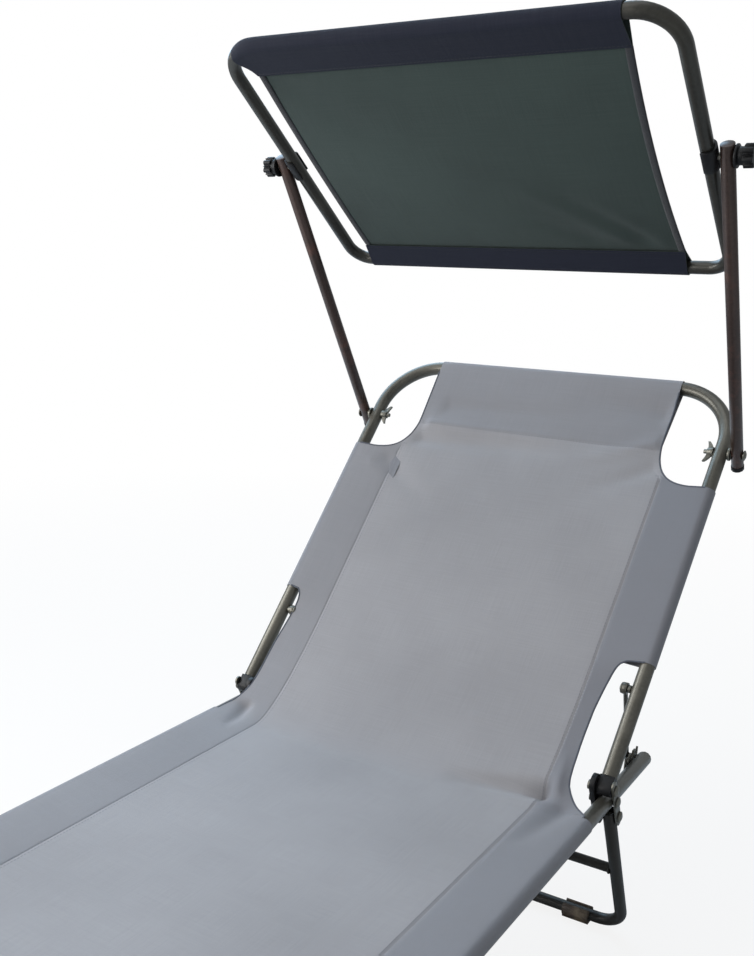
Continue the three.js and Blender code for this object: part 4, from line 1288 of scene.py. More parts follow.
def plain_piece(name: str, points: Sequence[Vector], faces: Sequence[tuple[int, ...]]) -> bpy.types.Object:
    """Makes a mesh from points and faces and turns its faces outwards.

    Args:
        name: its name.
        points: its vertices.
        faces: its faces.

    Returns:
        The piece.
    """
    mesh = bpy.data.meshes.new(name)
    mesh.from_pydata([tuple(p) for p in points], [], faces)
    piece = bpy.data.objects.new(name, mesh)
    bpy.context.scene.collection.objects.link(piece)
    only(piece)
    bpy.ops.object.mode_set(mode="EDIT")
    bpy.ops.mesh.select_all(action="SELECT")
    bpy.ops.mesh.normals_make_consistent(inside=False)
    bpy.ops.object.mode_set(mode="OBJECT")
    bpy.ops.object.shade_smooth_by_angle(angle=math.radians(60.0))
    return piece


class Piping:
    """Rolled edges along the cuts of a sheet, made as one piece."""

    SIDES = 12

    def __init__(self, width: float, height: float) -> None:
        """Args:
            width: the roll's width in the sheet.
            height: its height over it.
        """
        self.width, self.height = width, height
        self.points: list[Vector] = []
        self.faces: list[tuple[int, ...]] = []
        self.cut: list[tuple[float, float]] = []

    def run(self, line: Sequence[Vector], normals: Sequence[Vector]) -> None:
        """Rolls an edge along a line.

        Args:
            line: the line's points.
            normals: the sheet's normal at each.
        """
        base, along = len(self.points), 0.0
        for i, (point, normal) in enumerate(zip(line, normals)):
            ahead = line[min(i + 1, len(line) - 1)] - line[max(i - 1, 0)]
            if i:
                along += (point - line[i - 1]).length
            across = ahead.cross(normal).normalized()
            for k in range(self.SIDES):
                angle = 2 * math.pi * k / self.SIDES
                self.points.append(point + across * (self.width / 2 * math.cos(angle))
                                   + normal * (self.height / 2 * math.sin(angle)))
                self.cut.append((self.width * k / self.SIDES, along))
        for i in range(len(line) - 1):
            for k in range(self.SIDES):
                a, b = base + self.SIDES * i + k, base + self.SIDES * i + (k + 1) % self.SIDES
                self.faces.append((a, b, b + self.SIDES, a + self.SIDES))
        last = base + self.SIDES * (len(line) - 1)
        self.faces.append(tuple(range(base, base + self.SIDES)))
        self.faces.append(tuple(range(last + self.SIDES - 1, last - 1, -1)))

    def build(self, name: str) -> bpy.types.Object:
        """Args:
            name: the piece's name.

        Returns:
            All the rolled edges as one piece.
        """
        piece = plain_piece(name, self.points, self.faces)
        uv = piece.data.uv_layers.new(name="cut")
        for loop in piece.data.loops:
            uv.data[loop.index].uv = self.cut[loop.vertex_index]
        return piece


# The sling


@dataclass(frozen=True)
class SlingSizes:
    """Where the sling's sleeves start and end and how its cuts run."""

    back_mouth: float = 427 * MM
    corner_depth: float = 70 * MM
    corner_half: float = 190 * MM
    corner_flare: float = 64 * MM
    hip_back: float = 165 * MM
    hip_seat: float = -66 * MM
    knee_seat: float = -533 * MM
    knee_foot: float = 52 * MM
    foot_mouth: float = 468 * MM
    waist: float = 224 * MM
    row_step: float = 9 * MM
    hip_step: float = 4.5 * MM
    knee_step: float = 6 * MM
    end_step: float = 1.5 * MM
    rise_reach: float = 38 * MM
    mouth_reach: float = 30 * MM
    # Share of painted shade on the end hems, where two layers lie.
    hem_shade: float = 0.5
    hem_line: float = 2 * MM
    hem_edge: float = 0.8 * MM
    end_sag: float = 1.8 * MM
    hip_sag: float = 4 * MM
    seat_sag: float = 5 * MM
    knee_sag: float = 3.5 * MM
    sag_reach: float = 160 * MM


class SlingMaker:
    """Lays out and sews the two lengths of the sling."""

    HIP_SPAN = 228
    CURVE_STEPS = 160
    HEM_STEPS = tuple(s * MM for s in (14, 28, 42, 56, 70, 82))
    SEAM_STEPS = tuple(s * MM for s in (9, 5, 2, 0, -2, -6))
    CORNER_SHARES = tuple(0.07 * i for i in range(12, 0, -1))
    SEAM_ROWS = 7
    ROLL = (2.6 * MM, 2.0 * MM)
    RIGHT_HIP = ((0, 268.4), (9, 267.8), (12, 265), (16, 261.5), (20, 257.5), (26, 250.5), (32, 244.5),
                 (40, 238), (50, 232), (60, 229), (75, 227), (90, 226), (105, 225), (125, 224.5),
                 (155, 224.7), (170, 226), (185, 227.6), (195, 229), (205, 231), (212, 232.8),
                 (218, 235.2), (222, 238), (225, 241), (227, 247), (228, 268.4))
    LEFT_HIP = ((0, 268.4), (16, 267.5), (22, 266), (30, 263), (40, 259), (54, 255), (71, 252.5),
                (89, 252.5), (121, 253.5), (134, 253.5), (152, 252.5), (170, 251), (192, 249.5), (208, 249),
                (217, 250), (223, 252.5), (227, 256), (228, 268.4))
    LEFT_RISE = -0.5
    HEAD_FOLDS = (
        Fold((-175 * MM, 287 * MM), (30 * MM, 282 * MM), 13 * MM, -6.5 * MM),
        Fold((-168 * MM, 260 * MM), (60 * MM, 260 * MM), 10 * MM, 5.0 * MM),
        Fold((-150 * MM, 226 * MM), (120 * MM, 216 * MM), 10 * MM, -4.5 * MM),
        Fold((175 * MM, 200 * MM), (60 * MM, 190 * MM), 18 * MM, -8.0 * MM),
        Fold((178 * MM, 252 * MM), (80 * MM, 292 * MM), 11 * MM, 4.0 * MM),
        Fold((186 * MM, 292 * MM), (110 * MM, 340 * MM), 12 * MM, -4.0 * MM),
        Fold((-215 * MM, 334 * MM), (-110 * MM, 410 * MM), 12 * MM, -3.5 * MM),
        Fold((-238 * MM, 345 * MM), (-205 * MM, 372 * MM), 8 * MM, 1.6 * MM),
        Fold((205 * MM, 773 * MM), (95 * MM, 788 * MM), 11 * MM, -15.0 * MM),
        Fold((203 * MM, 772 * MM), (186 * MM, 775 * MM), 6 * MM, -8.0 * MM),
        Fold((219 * MM, 766 * MM), (214 * MM, 725 * MM), 8 * MM, 6.0 * MM),
        Fold((240 * MM, 796 * MM), (226 * MM, 880 * MM), 14 * MM, -8.0 * MM),
        Fold((-240 * MM, 779 * MM), (-232 * MM, 830 * MM), 7 * MM, -9.0 * MM),
        Fold((84 * MM, 697 * MM), (85 * MM, 702 * MM), 4 * MM, 1.5 * MM),
    )

    def __init__(self, sizes: SlingSizes = SlingSizes()) -> None:
        """Args:
            sizes: the cut of the sling.
        """
        self.sizes = sizes
        self.edge = SIZES.rail + BAND.touch[0]
        self.cloth = SHOP.cloth(SLING_CLOTH)

    def _steps(self, start: float, end: float, step: float, easy: float = 3 * MM) -> list[float]:
        """Divides a stretch evenly, with a short step at each end.

        Args:
            start: where it starts.
            end: where it ends.
            step: the wanted step.
            easy: the short step.

        Returns:
            The places.
        """
        way = 1.0 if end > start else -1.0
        count = max(1, round((abs(end - start) - 2 * easy) / step))
        inner = [start + way * easy + (end - start - 2 * way * easy) * i / count for i in range(count + 1)]
        return [start, *inner, end]

    def _end_rows(self, plane: Plane, bar: float, mouth: float) -> list[Row]:
        """Lays the sheet from its flap under the end bar, over the bar and down to the side sleeves.

        Args:
            plane: the section's plane.
            bar: where the end bar is.
            mouth: where the side sleeves start.

        Returns:
            The rows, from the flap on.
        """
        sizes = self.sizes
        half = sizes.corner_half
        away, height = END_BAND.touch
        under = [(bar + s, n) for s, n in END_BAND.wrap()]
        rows = [Row(plane.at(0.0, s, n), half, half, sag=-self._end_sag(bar - s), doubled_and_shaded=sizes.hem_shade)
                for s, n in reversed(under)]
        rows.append(Row(plane.at(0.0, bar + away, height), half, half, doubled_and_shaded=sizes.hem_shade))
        seam = bar - END_BAND.hem
        places = [bar - step for step in self.HEM_STEPS] + [mouth + sizes.corner_depth]
        places += [seam + step for step in self.SEAM_STEPS]
        places += [mouth + sizes.corner_depth * t * t for t in self.CORNER_SHARES]
        for s in sorted(set(places), reverse=True):
            t = math.sqrt(min(1.0, (s - mouth) / sizes.corner_depth))
            width = half + sizes.corner_flare * (1.0 - t) ** 2
            raised = height * max(0.0, (s - seam) / (bar + away - seam))
            mark = math.exp(-(((s - seam) / sizes.hem_line) ** 2))
            lift = 1.0 - smooth((s - mouth) / sizes.mouth_reach)
            # Painted shade over the two-layered hem, eased in across the seam.
            doubled_and_shaded = sizes.hem_shade * smooth((s - seam + sizes.hem_edge) / (2 * sizes.hem_edge))
            rows.append(Row(plane.at(0.0, s, raised), width, width, lift=lift, hem=mark,
                            sag=self._end_sag(bar - s), doubled_and_shaded=doubled_and_shaded))
        return rows

    def _end_sag(self, away: float) -> float:
        """Returns the sag at a distance from the end bar."""
        return self.sizes.end_sag * smooth(away / self.sizes.sag_reach)

    def _sleeved(self, plane: Plane, start: float, end: float, zone: str,
                 sag: tuple[float, float]) -> list[Row]:
        """Lays the sheet between two sleeve mouths.

        Args:
            plane: the section's plane.
            start: the first mouth.
            end: the second mouth.
            zone: the sleeves' name.
            sag: the sag at the start and at the end.

        Returns:
            The rows.
        """
        rows = []
        for s in self._steps(start, end, self.sizes.row_step):
            share = (s - start) / (end - start)
            drop = sag[0] + (sag[1] - sag[0]) * smooth(share)
            rows.append(Row(plane.at(0.0, s), self.edge, self.edge, zone, sag=drop, lift=1.0))
        return rows

    def _hip_rows(self) -> list[Row]:
        """Returns:
            The rows of the waisted stretch between the back's sleeves and the seat's, without its ends.
        """
        sizes = self.sizes
        start = BACK.at(0.0, sizes.hip_back)
        end = SEAT.at(0.0, sizes.hip_seat)
        corner = SEAT.at(0.0, -SIZES.hip_rise / math.tan(math.radians(SIZES.recline)))
        count = self.CURVE_STEPS
        curve = [(1 - t) ** 2 * start + 2 * t * (1 - t) * corner + t * t * end
                 for t in (i / count for i in range(count + 1))]
        lengths = [0.0]
        for a, b in zip(curve, curve[1:]):
            lengths.append(lengths[-1] + (b - a).length)
        total = lengths[-1]
        rows = []
        for place in self._steps(0.0, total, sizes.hip_step, sizes.end_step)[1:-1]:
            i = next(k for k in range(1, count + 1) if lengths[k] >= place)
            share = (place - lengths[i - 1]) / (lengths[i] - lengths[i - 1])
            point = curve[i - 1].lerp(curve[i], share)
            near = (total - place) / total * self.HIP_SPAN
            right = table(self.RIGHT_HIP, near) * MM
            left = table(self.LEFT_HIP, near) * MM
            inside = smooth(min(place, total - place) / sizes.rise_reach)
            rows.append(Row(point, right, left, lift=1.0 - inside, left_lift=1.0 + self.LEFT_RISE * inside,
                            sag=sizes.hip_sag))
        return rows

    def _knee_rows(self) -> list[Row]:
        """Returns:
            The rows of the waisted stretch between the seat's sleeves and the foot section's.
        """
        sizes = self.sizes
        start = SEAT.at(0.0, sizes.knee_seat)
        end = FOOT.at(0.0, sizes.knee_foot)
        total = (end - start).length
        rows = []
        for place in self._steps(0.0, total, sizes.knee_step, sizes.end_step)[:-1]:
            share = place / total
            width = sizes.waist + (self.edge - sizes.waist) * (2 * share - 1) ** 6
            lift = 1.0 - smooth(min(place, total - place) / sizes.rise_reach)
            drop = sizes.seat_sag + (sizes.knee_sag - sizes.seat_sag) * smooth(share)
            rows.append(Row(start.lerp(end, share), width, width, lift=lift, sag=drop))
        return rows

    def _sew(self, sling: Sling, sheet: bpy.types.Object, seams: Sequence[int],
             hems: Sequence[int]) -> bpy.types.Object:
        """Sews the side seams and the end hems.

        Args:
            sling: the sheet's grid.
            sheet: the sheet.
            seams: the first and last row of the side seams.
            hems: the rows that the end hems follow.

        Returns:
            The stitches.
        """
        work = Stitching(Surface(sheet))
        first, last = seams
        for side in (1, -1):
            for column in (sling.seam_column + 1, sling.seam_column - 2):
                line = sling.line(side * column, first, last)
                for i in range(len(line) - 1):
                    work.run(line[i:i + 2], sling.rows[first + i].normal)
        for row in hems:
            work.run(sling.across(row, sling.seam_column), sling.rows[row].normal)
        return work.build(f"{sling.name}_stitches")

    def _bind(self, sling: Sling, stretches: Sequence[tuple[int, int]]) -> bpy.types.Object:
        """Rolls the cut edges where the sheet is drawn in.

        Args:
            sling: the sheet's grid.
            stretches: the first row and the row after the last of each cut.

        Returns:
            The rolled edges.
        """
        work = Piping(*self.ROLL)
        for first, last in stretches:
            normals = [row.normal for row in sling.rows[first:last]]
            for side in (1, -1):
                work.run(sling.line(side * sling.edge_column, first, last), normals)
        return work.build(f"{sling.name}_edges")

    def _finish(self, sheet: bpy.types.Object, trims: Sequence[bpy.types.Object],
                nodes: Sequence[str]) -> None:
        """Bakes the placement of a sheet and its trims into their meshes and hides the CAD nodes that they
        stand for.
        """
        for piece in (sheet, *trims):
            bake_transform(piece)
        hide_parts(*nodes)

    def head_rows(self) -> tuple[list[Row], list[Row], list[Row], list[Row]]:
        """Returns:
            The rows over the top bar, down the back, round the hip and along the seat.
        """
        sizes = self.sizes
        top = self._end_rows(BACK, SIZES.back, sizes.back_mouth)
        back = self._sleeved(BACK, sizes.back_mouth, sizes.hip_back, "back",
                             (sizes.end_sag, sizes.hip_sag))
        seat = self._sleeved(SEAT, sizes.hip_seat, sizes.knee_seat, "seat",
                             (sizes.hip_sag, sizes.seat_sag))
        return top, back, self._hip_rows(), seat

    def head(self) -> None:
        """Makes the length that runs over the backrest and the seat."""
        top, back, hip, seat = self.head_rows()
        rows = top + back + hip + seat
        sling = Sling("sling_head", rows, self.cloth, self.HEAD_FOLDS)
        sheet = sling.build()
        marks = [i for i, row in enumerate(top) if row.hem == 1.0]
        stitches = self._sew(sling, sheet, (len(top) - self.SEAM_ROWS, len(rows)), marks)
        dress(stitches, SHOP.hard(THREAD))
        ends = (len(BAND.wrap()) + 1, len(top) + 1)
        hips = (len(top) + len(back) - 1, len(top) + len(back) + len(hip) + 1)
        # The rolled edges take the darker colour, painted shade along the rim.
        edges = dress(self._bind(sling, (ends, hips)), SHOP.cloth(EDGE_ROLL_SHADE))
        self._finish(sheet, (stitches, edges), ("backrest_fabric", "hip_fabric", "seat_fabric"))

    def foot(self) -> None:
        """Makes the length that runs over the knee joint and the foot section."""
        sizes = self.sizes
        knee = self._knee_rows()
        middle = self._sleeved(FOOT, sizes.knee_foot, sizes.foot_mouth, "foot",
                               (sizes.knee_sag, sizes.end_sag))
        end = list(reversed(self._end_rows(FOOT, SIZES.foot, sizes.foot_mouth)))
        rows = knee + middle + end
        sling = Sling("sling_foot", rows, self.cloth)
        sheet = sling.build()
        first = len(knee) + len(middle)
        marks = [first + i for i, row in enumerate(end) if row.hem == 1.0]
        stitches = self._sew(sling, sheet, (0, first + self.SEAM_ROWS), marks)
        dress(stitches, SHOP.hard(THREAD))
        last = len(rows) - len(BAND.wrap()) - 1
        # The rolled edges take the darker colour, painted shade along the rim.
        edges = dress(self._bind(sling, ((0, len(knee) + 1), (first - 1, last))), SHOP.cloth(EDGE_ROLL_SHADE))
        self._finish(sheet, (stitches, edges), ("foot_fabric", "knee_fabric"))


# The frame


def loop_corners(plane: Plane, start: float, end: float) -> list[Vector]:
    """Args:
        plane: the plane of a tube that is bent into a U.
        start: where both its ends are.
        end: where its cross part is.

    Returns:
        Its ends and the corners of its two bends, from the left end on.
    """
    return [plane.at(side * SIZES.rail, s) for side, s in ((-1, start), (-1, end), (1, end), (1, start))]


@dataclass
class SeatFrame:
    """The side rails of the seat."""

    overhang: float = 145 * MM
    butt: float = 1 * MM

    def build(self) -> None:
        """Makes the rails."""
        size = TubeSize(SIZES.tube)
        for side in Side:
            x = side.value * SIZES.rail
            corners = (SEAT.at(x, self.butt - SIZES.seat), SEAT.at(x, self.overhang))
            rail = BentTube(f"seat_rail_tube_{side.word}", size, corners).build()
            fit(dress(rail, SHOP.hard(FINISHES[Coat.STEEL])), "seat", Coat.STEEL, f"seat_rail_{side.word}")


@dataclass
class Backrest:
    """The bent tube of the backrest."""

    start: float = 14 * MM
    bend: float = 85 * MM
    bend_steps: int = 20

    def build(self) -> None:
        """Makes the tube."""
        size = TubeSize(SIZES.tube, bend_steps=self.bend_steps)
        corners = loop_corners(BACK, self.start, SIZES.back)
        tube = BentTube("backrest_tube", size, corners, (self.bend, self.bend)).build()
        fit(dress(tube, SHOP.hard(FINISHES[Coat.STEEL])), "backrest", Coat.STEEL, "backrest_frame")


@dataclass
class FootSection:
    """The bent tube of the foot section with its hinge tongues."""

    start: float = 1 * MM
    bend: float = 85 * MM
    bend_steps: int = 20
    eye: float = 7.5 * MM
    eye_edge: float = 0.5 * MM
    eye_sides: int = 24
    tongue: float = 6 * MM
    reach: float = 17 * MM
    rail_way: tuple[float, float, float] = (0.0, -0.55, -0.83)
    facing_share: float = 0.72

    def build(self) -> None:
        """Makes the tube and welds the tongues on."""
        size = TubeSize(SIZES.tube, bend_steps=self.bend_steps)
        corners = loop_corners(FOOT, self.start, SIZES.foot)
        pieces = [BentTube("foot_tube", size, corners, (self.bend, self.bend)).build()]
        for side in Side:
            pieces.append(self._tongue(side.value * SIZES.rail))
        tube = join("foot_tube", pieces)
        fit(dress(tube, SHOP.hard(FINISHES[Coat.STEEL])), "foot_section", Coat.STEEL, "foot_frame")

    def _tongue(self, x: float) -> bpy.types.Object:
        """Args:
            x: the rail's place across.

        Returns:
            The flat eye over the rail's end, drawn out along the rail.
        """
        pivot = FOOT.at(x, 0.0, SIZES.knee_rise)
        half = Vector((self.tongue / 2, 0.0, 0.0))
        eye = rod("tongue", self.eye, pivot - half, pivot + half, self.eye_edge, self.eye_sides)
        only(eye)
        bpy.ops.object.mode_set(mode="EDIT")
        bpy.ops.mesh.select_all(action="DESELECT")
        bpy.ops.mesh.select_mode(type="FACE")
        bpy.ops.object.mode_set(mode="OBJECT")
        down = Vector(self.rail_way)
        for face in eye.data.polygons:
            face.select = face.normal.dot(down) > self.facing_share
        bpy.ops.object.mode_set(mode="EDIT")
        step = Vector((0.0, -self.reach, SIZES.tube - SIZES.knee_rise))
        bpy.ops.mesh.extrude_region_move(TRANSFORM_OT_translate={"value": step})
        bpy.ops.object.mode_set(mode="OBJECT")
        return settle(eye)


@dataclass
class LegPair:
    """A folding leg: a bent tube from pivot to pivot with a brace."""

    name: str
    plane: Plane
    body: str
    radius: float = 8 * MM
    length: float = 249 * MM
    overrun: float = 7 * MM
    bend: float = 36 * MM
    bend_steps: int = 14
    edge: float = 0.4 * MM
    brace_at: float = 117 * MM
    brace: float = 6.5 * MM
    brace_bite: float = 1 * MM
    brace_edge: float = 0.2 * MM
    weld: float = 1.4 * MM
    weld_out: float = 0.3 * MM

    def build(self) -> None:
        """Makes the leg."""
        size = TubeSize(self.radius, bend_steps=self.bend_steps)
        corners = loop_corners(self.plane, -self.overrun, self.length)
        tube = BentTube(f"{self.name}_tube", size, corners, (self.bend, self.bend), self.edge).build()
        inner = SIZES.rail - self.radius
        ends = [self.plane.at(side * (inner + self.brace_bite), self.brace_at) for side in (-1, 1)]
        pieces = [tube, rod("brace", self.brace, *ends, self.brace_edge)]
        for side in Side:
            place = self.plane.at(side.value * inner, self.brace_at)
            axis = Vector((1.0, 0.0, 0.0))
            pieces.append(bead("weld", self.brace + self.weld_out, self.weld, place, axis))
        leg = join(f"{self.name}_tube", pieces)
        fit(dress(leg, SHOP.hard(FINISHES[Coat.LEG])), self.body, Coat.LEG, f"{self.name}_frame")


@dataclass
class CanopyArms:
    """The two arms that carry the canopy, outside the backrest."""

    offset: float = 291.5 * MM
    radius: float = 8 * MM
    tail: float = 17.5 * MM
    reach: float = 427 * MM
    lid: float = 7.7 * MM
    lid_depth: float = 2 * MM
    lid_proud: float = 0.4 * MM
    lid_edge: float = 0.8 * MM

    def build(self) -> None:
        """Makes the arms."""
        for side in Side:
            x = side.value * self.offset
            ends = (ARMS.at(x, -self.tail), ARMS.at(x, self.reach - self.lid_proud))
            arm = BentTube(f"arm_tube_{side.word}", TubeSize(self.radius), ends).build()
            lid = rod("lid", self.lid, ARMS.at(x, self.reach - self.lid_depth), ARMS.at(x, self.reach),
                      self.lid_edge)
            arm = join(f"arm_tube_{side.word}", (arm, lid))
            fit(dress(arm, SHOP.hard(FINISHES[Coat.ARM])), "canopy_arms", Coat.ARM, f"canopy_arm_{side.word}")


@dataclass
class StarKnob:
    """A moulded star knob with its stud, outside the arm."""

    face: float = 299.8 * MM
    radius: float = 17 * MM
    waist: float = 12.5 * MM
    lobes: int = 6
    thickness: float = 11 * MM
    foot: float = 12.5 * MM
    hub: float = 9.5 * MM
    hub_length: float = 9 * MM
    stud: float = 4 * MM
    stud_reach: float = 31 * MM
    stud_bite: float = 1 * MM
    stud_edge: float = 0.5 * MM
    bite: float = 2 * MM
    hub_edge: float = 0.6 * MM
    foot_depth: float = 3 * MM
    foot_edge: float = 0.9 * MM
    plug: float = 4.6 * MM
    plug_sunk: float = 0.2 * MM
    plug_edge: float = 0.5 * MM
    rim_edge: float = 2.4 * MM
    rim_steps: int = 4
    rim_sides: int = 72
    hollow_shares: tuple[float, ...] = (1.0, 0.93, 0.74, 0.46, 0.2, 0.05)

    def build(self) -> None:
        """Makes both knobs."""
        start = self.face + self.hub_length
        end = start + self.thickness
        black, steel = SHOP.hard(FINISHES[Coat.BLACK]), SHOP.hard(FINISHES[Coat.ZINC])
        for side in Side:
            turned = (
                ("hub", self.hub, self.face + self.bite, start + self.bite, self.hub_edge),
                ("foot", self.foot, self.face, self.face + self.foot_depth, self.foot_edge),
                ("plug", self.plug, end - self.bite, end - self.plug_sunk, self.plug_edge),
                ("stud", self.stud, self.face - self.stud_reach, self.face + self.stud_bite, self.stud_edge),
            )
            parts = [self._star(side.value * (start + self.thickness / 2))]
            for name, radius, near, far, edge in turned:
                span = (CANOPY.at(side.value * near, 0.0), CANOPY.at(side.value * far, 0.0))
                parts.append(rod(name, radius, *span, edge))
            for piece in parts:
                dress(piece, black, steel)
            for face in parts[-1].data.polygons:
                face.material_index = 1
            knob = join(f"star_knob_{side.word}", parts)
            fit(knob, f"{side.word}_canopy_knob", Coat.BLACK, f"canopy_knob_{side.word}")

    def _star(self, x: float) -> bpy.types.Object:
        """Args:
            x: the middle of the star along its axis.

        Returns:
            The star head, its rim rounded.
        """
        middle = CANOPY.at(x, 0.0)
        start_clean()
        bpy.ops.mesh.primitive_cylinder_add(
            vertices=self.rim_sides, radius=self.radius, depth=self.thickness, location=middle,
            rotation=(0.0, math.pi / 2, 0.0))
        star = bpy.context.object
        bpy.ops.object.transform_apply(location=True, rotation=True, scale=True)
        step = 2 * math.pi / self.lobes
        for count, share in enumerate(self.hollow_shares):
            factor = 1.0 - (1.0 - self.waist / self.radius) * share
            for vertex in star.data.vertices:
                offset = vertex.co - middle
                angle = math.atan2(offset.z, offset.y) % step
                away = min(angle, step - angle) * self.rim_sides / (2 * math.pi)
                vertex.select = round(away) == count
            bpy.ops.object.mode_set(mode="EDIT")
            bpy.ops.mesh.select_mode(type="VERT")
            bpy.ops.transform.resize(value=(1.0, factor, factor), center_override=middle)
            bpy.ops.mesh.select_all(action="DESELECT")
            bpy.ops.object.mode_set(mode="OBJECT")
        bevel(star, self.rim_edge, self.rim_steps, 60.0)
        return settle(star, 45.0)


@dataclass
class Canopy:
    """The canopy's bent frame and its sheet."""

    half: float = 271.5 * MM
    front: float = 194 * MM
    rear: float = 190 * MM
    radius: float = 8 * MM
    front_bend: float = 46 * MM
    rear_bend: float = 28 * MM
    gap: float = 0.3 * MM
    front_hem: float = 41 * MM
    rear_hem: float = 32 * MM
    left_edge: float = -240 * MM
    right_edge: float = 220 * MM
    left_flare: float = 14 * MM
    left_hollow: float = 2 * MM
    right_hollow: float = 3.5 * MM
    sag: float = 12 * MM
    edge_sag_share: float = 0.35
    under: float = 1.5 * MM
    tape: float = 9 * MM
    tape_height: float = 2.2 * MM
    seam_inset: float = 3 * MM
    bend_steps: int = 14
    columns: int = 46
    rows: int = 26
    front_shares: tuple[float, ...] = (0.45, 0.72, 0.92)
    rear_shares: tuple[float, ...] = (0.08, 0.3, 0.6)
    folds: tuple[Fold, ...] = (
        Fold((150 * MM, -132 * MM), (40 * MM, -34 * MM), 10 * MM, 4.2 * MM),
        Fold((176 * MM, -134 * MM), (96 * MM, -56 * MM), 8 * MM, -3.4 * MM),
        Fold((198 * MM, -140 * MM), (130 * MM, -60 * MM), 9 * MM, 3.4 * MM),
        Fold((110 * MM, -140 * MM), (30 * MM, -90 * MM), 11 * MM, -2.6 * MM),
        Fold((-214 * MM, 140 * MM), (-120 * MM, 60 * MM), 16 * MM, -1.5 * MM),
        Fold((-200 * MM, -140 * MM), (-120 * MM, -70 * MM), 12 * MM, 1.3 * MM),
    )

    def build(self) -> None:
        """Makes the frame and the sheet."""
        self._frame()
        self._sheet()

    def _frame(self) -> None:
        """Makes the tube loop, its ends meeting under the rear hem."""
        corners = [CANOPY.at(x, s) for x, s in (
            (-self.gap, -self.rear), (-self.half, -self.rear), (-self.half, self.front),
            (self.half, self.front), (self.half, -self.rear), (self.gap, -self.rear))]
        bends = (self.rear_bend, self.front_bend, self.front_bend, self.rear_bend)
        size = TubeSize(self.radius, bend_steps=self.bend_steps)
        tube = BentTube("canopy_tube", size, corners, bends).build()
        # The tube takes the darker copy of the frame paint, which is painted shade.
        fit(dress(tube, SHOP.hard(CANOPY_FRAME_SHADE)), "canopy", Coat.STEEL, "canopy_frame")

    def _profile(self) -> list[tuple[float, float, float]]:
        """Returns:
            The sheet's line from the front hem's edge to the rear hem's edge: place, height below the
            frame's plane and 1 where two layers lie on each other, which also sets the painted shade there.
        """
        sleeve = self.radius + SLACK
        front = SleeveSize(sleeve, self.front_hem, 0.0, self.under)
        rear = SleeveSize(sleeve, self.rear_hem, 0.0, self.under)
        away, height = front.touch
        points = [(self.front + s, -n, 1.0) for s, n in reversed(front.wrap()[:-2])]
        points.append((self.front + away, -height, 1.0))
        points += [(self.front - self.front_hem * t, -height * (1 - t), 1.0) for t in self.front_shares]
        start, end = self.front - self.front_hem, self.rear_hem - self.rear
        for i in range(self.rows + 1):
            t = i / self.rows
            points.append((start + (end - start) * t, self.sag * 4 * t * (1 - t), 0.0))
        away, height = rear.touch
        points += [(-self.rear + self.rear_hem * (1 - t), -height * t, 1.0) for t in self.rear_shares]
        points.append((-self.rear - away, -height, 1.0))
        points += [(-self.rear - s, -n, 1.0) for s, n in rear.wrap()[:-2]]
        return points

    def _edges(self, s: float) -> tuple[float, float]:
        """Args:
            s: the place along the frame.

        Returns:
            The sheet's left and right edge there.
        """
        middle = max(0.0, 1.0 - (s / (self.rear - self.rear_hem)) ** 2)
        flare = self.left_flare * smooth((s - self.front + self.front_hem) / self.front_hem)
        left = self.left_edge - flare + self.left_hollow * middle
        return left, self.right_edge - self.right_hollow * middle

    def _spot(self, row: tuple[float, float, float], x: float) -> Vector:
        """Args:
            row: the row's place along the frame, its height and whether two layers lie there.
            x: the place across.

        Returns:
            The sheet's point there, with its sag, its folds and its way round the front bends.
        """
        s, n, doubled_and_shaded = row
        left, right = self._edges(s)
        share = min(max((x - left) / (right - left), 0.0), 1.0)
        if not doubled_and_shaded:
            n *= self.edge_sag_share + (1.0 - self.edge_sag_share) * math.sin(math.pi * share) ** 0.7
            n += sum(fold.height_at(x, s) for fold in self.folds)
        over = max(0.0, abs(x) - (self.half - self.front_bend))
        dip = self.front_bend - math.sqrt(self.front_bend ** 2 - over ** 2)
        near = smooth((s - self.front + self.front_hem) / self.front_hem)
        return CANOPY.at(x, s - dip * near, n)

    def _sheet(self) -> None:
        """Makes the sheet, its side tapes and its stitches."""
        profile = self._profile()
        points, cut, double, along = [], [], [], 0.0
        for i, row in enumerate(profile):
            if i:
                along += math.hypot(row[0] - profile[i - 1][0], row[1] - profile[i - 1][1])
            left, right = self._edges(row[0])
            for c in range(self.columns + 1):
                x = left + (right - left) * c / self.columns
                points.append(self._spot(row, x))
                cut.append((x, along))
                # Each vertex takes painted shade where two layers lie.
                double.append(row[2])
        stride = self.columns + 1
        faces = [(stride * r + c, stride * (r + 1) + c, stride * (r + 1) + c + 1, stride * r + c + 1)
                 for r in range(len(profile) - 1) for c in range(self.columns)]
        sheet = cloth_piece("canopy_sheet", points, faces, cut, double,
                            (SHOP.cloth(CANOPY_INNER), SHOP.cloth(CANOPY_OUTER_SHADE)), -1.0)
        trims = [self._tapes(profile), self._stitches(sheet)]
        fit(sheet, "canopy", Coat.CANOPY, "canopy_fabric")
        for trim in trims:
            fit(trim, "canopy", Coat.CANOPY)

    def _tapes(self, profile: Sequence[tuple[float, float, float]]) -> bpy.types.Object:
        """Folds a tape over each side edge between the hems.

        Args:
            profile: the sheet's rows.

        Returns:
            Both tapes as one piece.
        """
        work = Piping(self.tape, self.tape_height)
        rows = [row for row in profile if not row[2]]
        inset = self.tape / 2 - SLACK
        for sign in (-1, 1):
            line = []
            for row in rows:
                left, right = self._edges(row[0])
                x = left + inset if sign < 0 else right - inset
                line.append(self._spot(row, x) + CANOPY.normal * (CLOTH / 2))
            work.run(line, [CANOPY.normal] * len(line))
        return dress(work.build("canopy_tapes"), SHOP.cloth(CANOPY_TAPE))

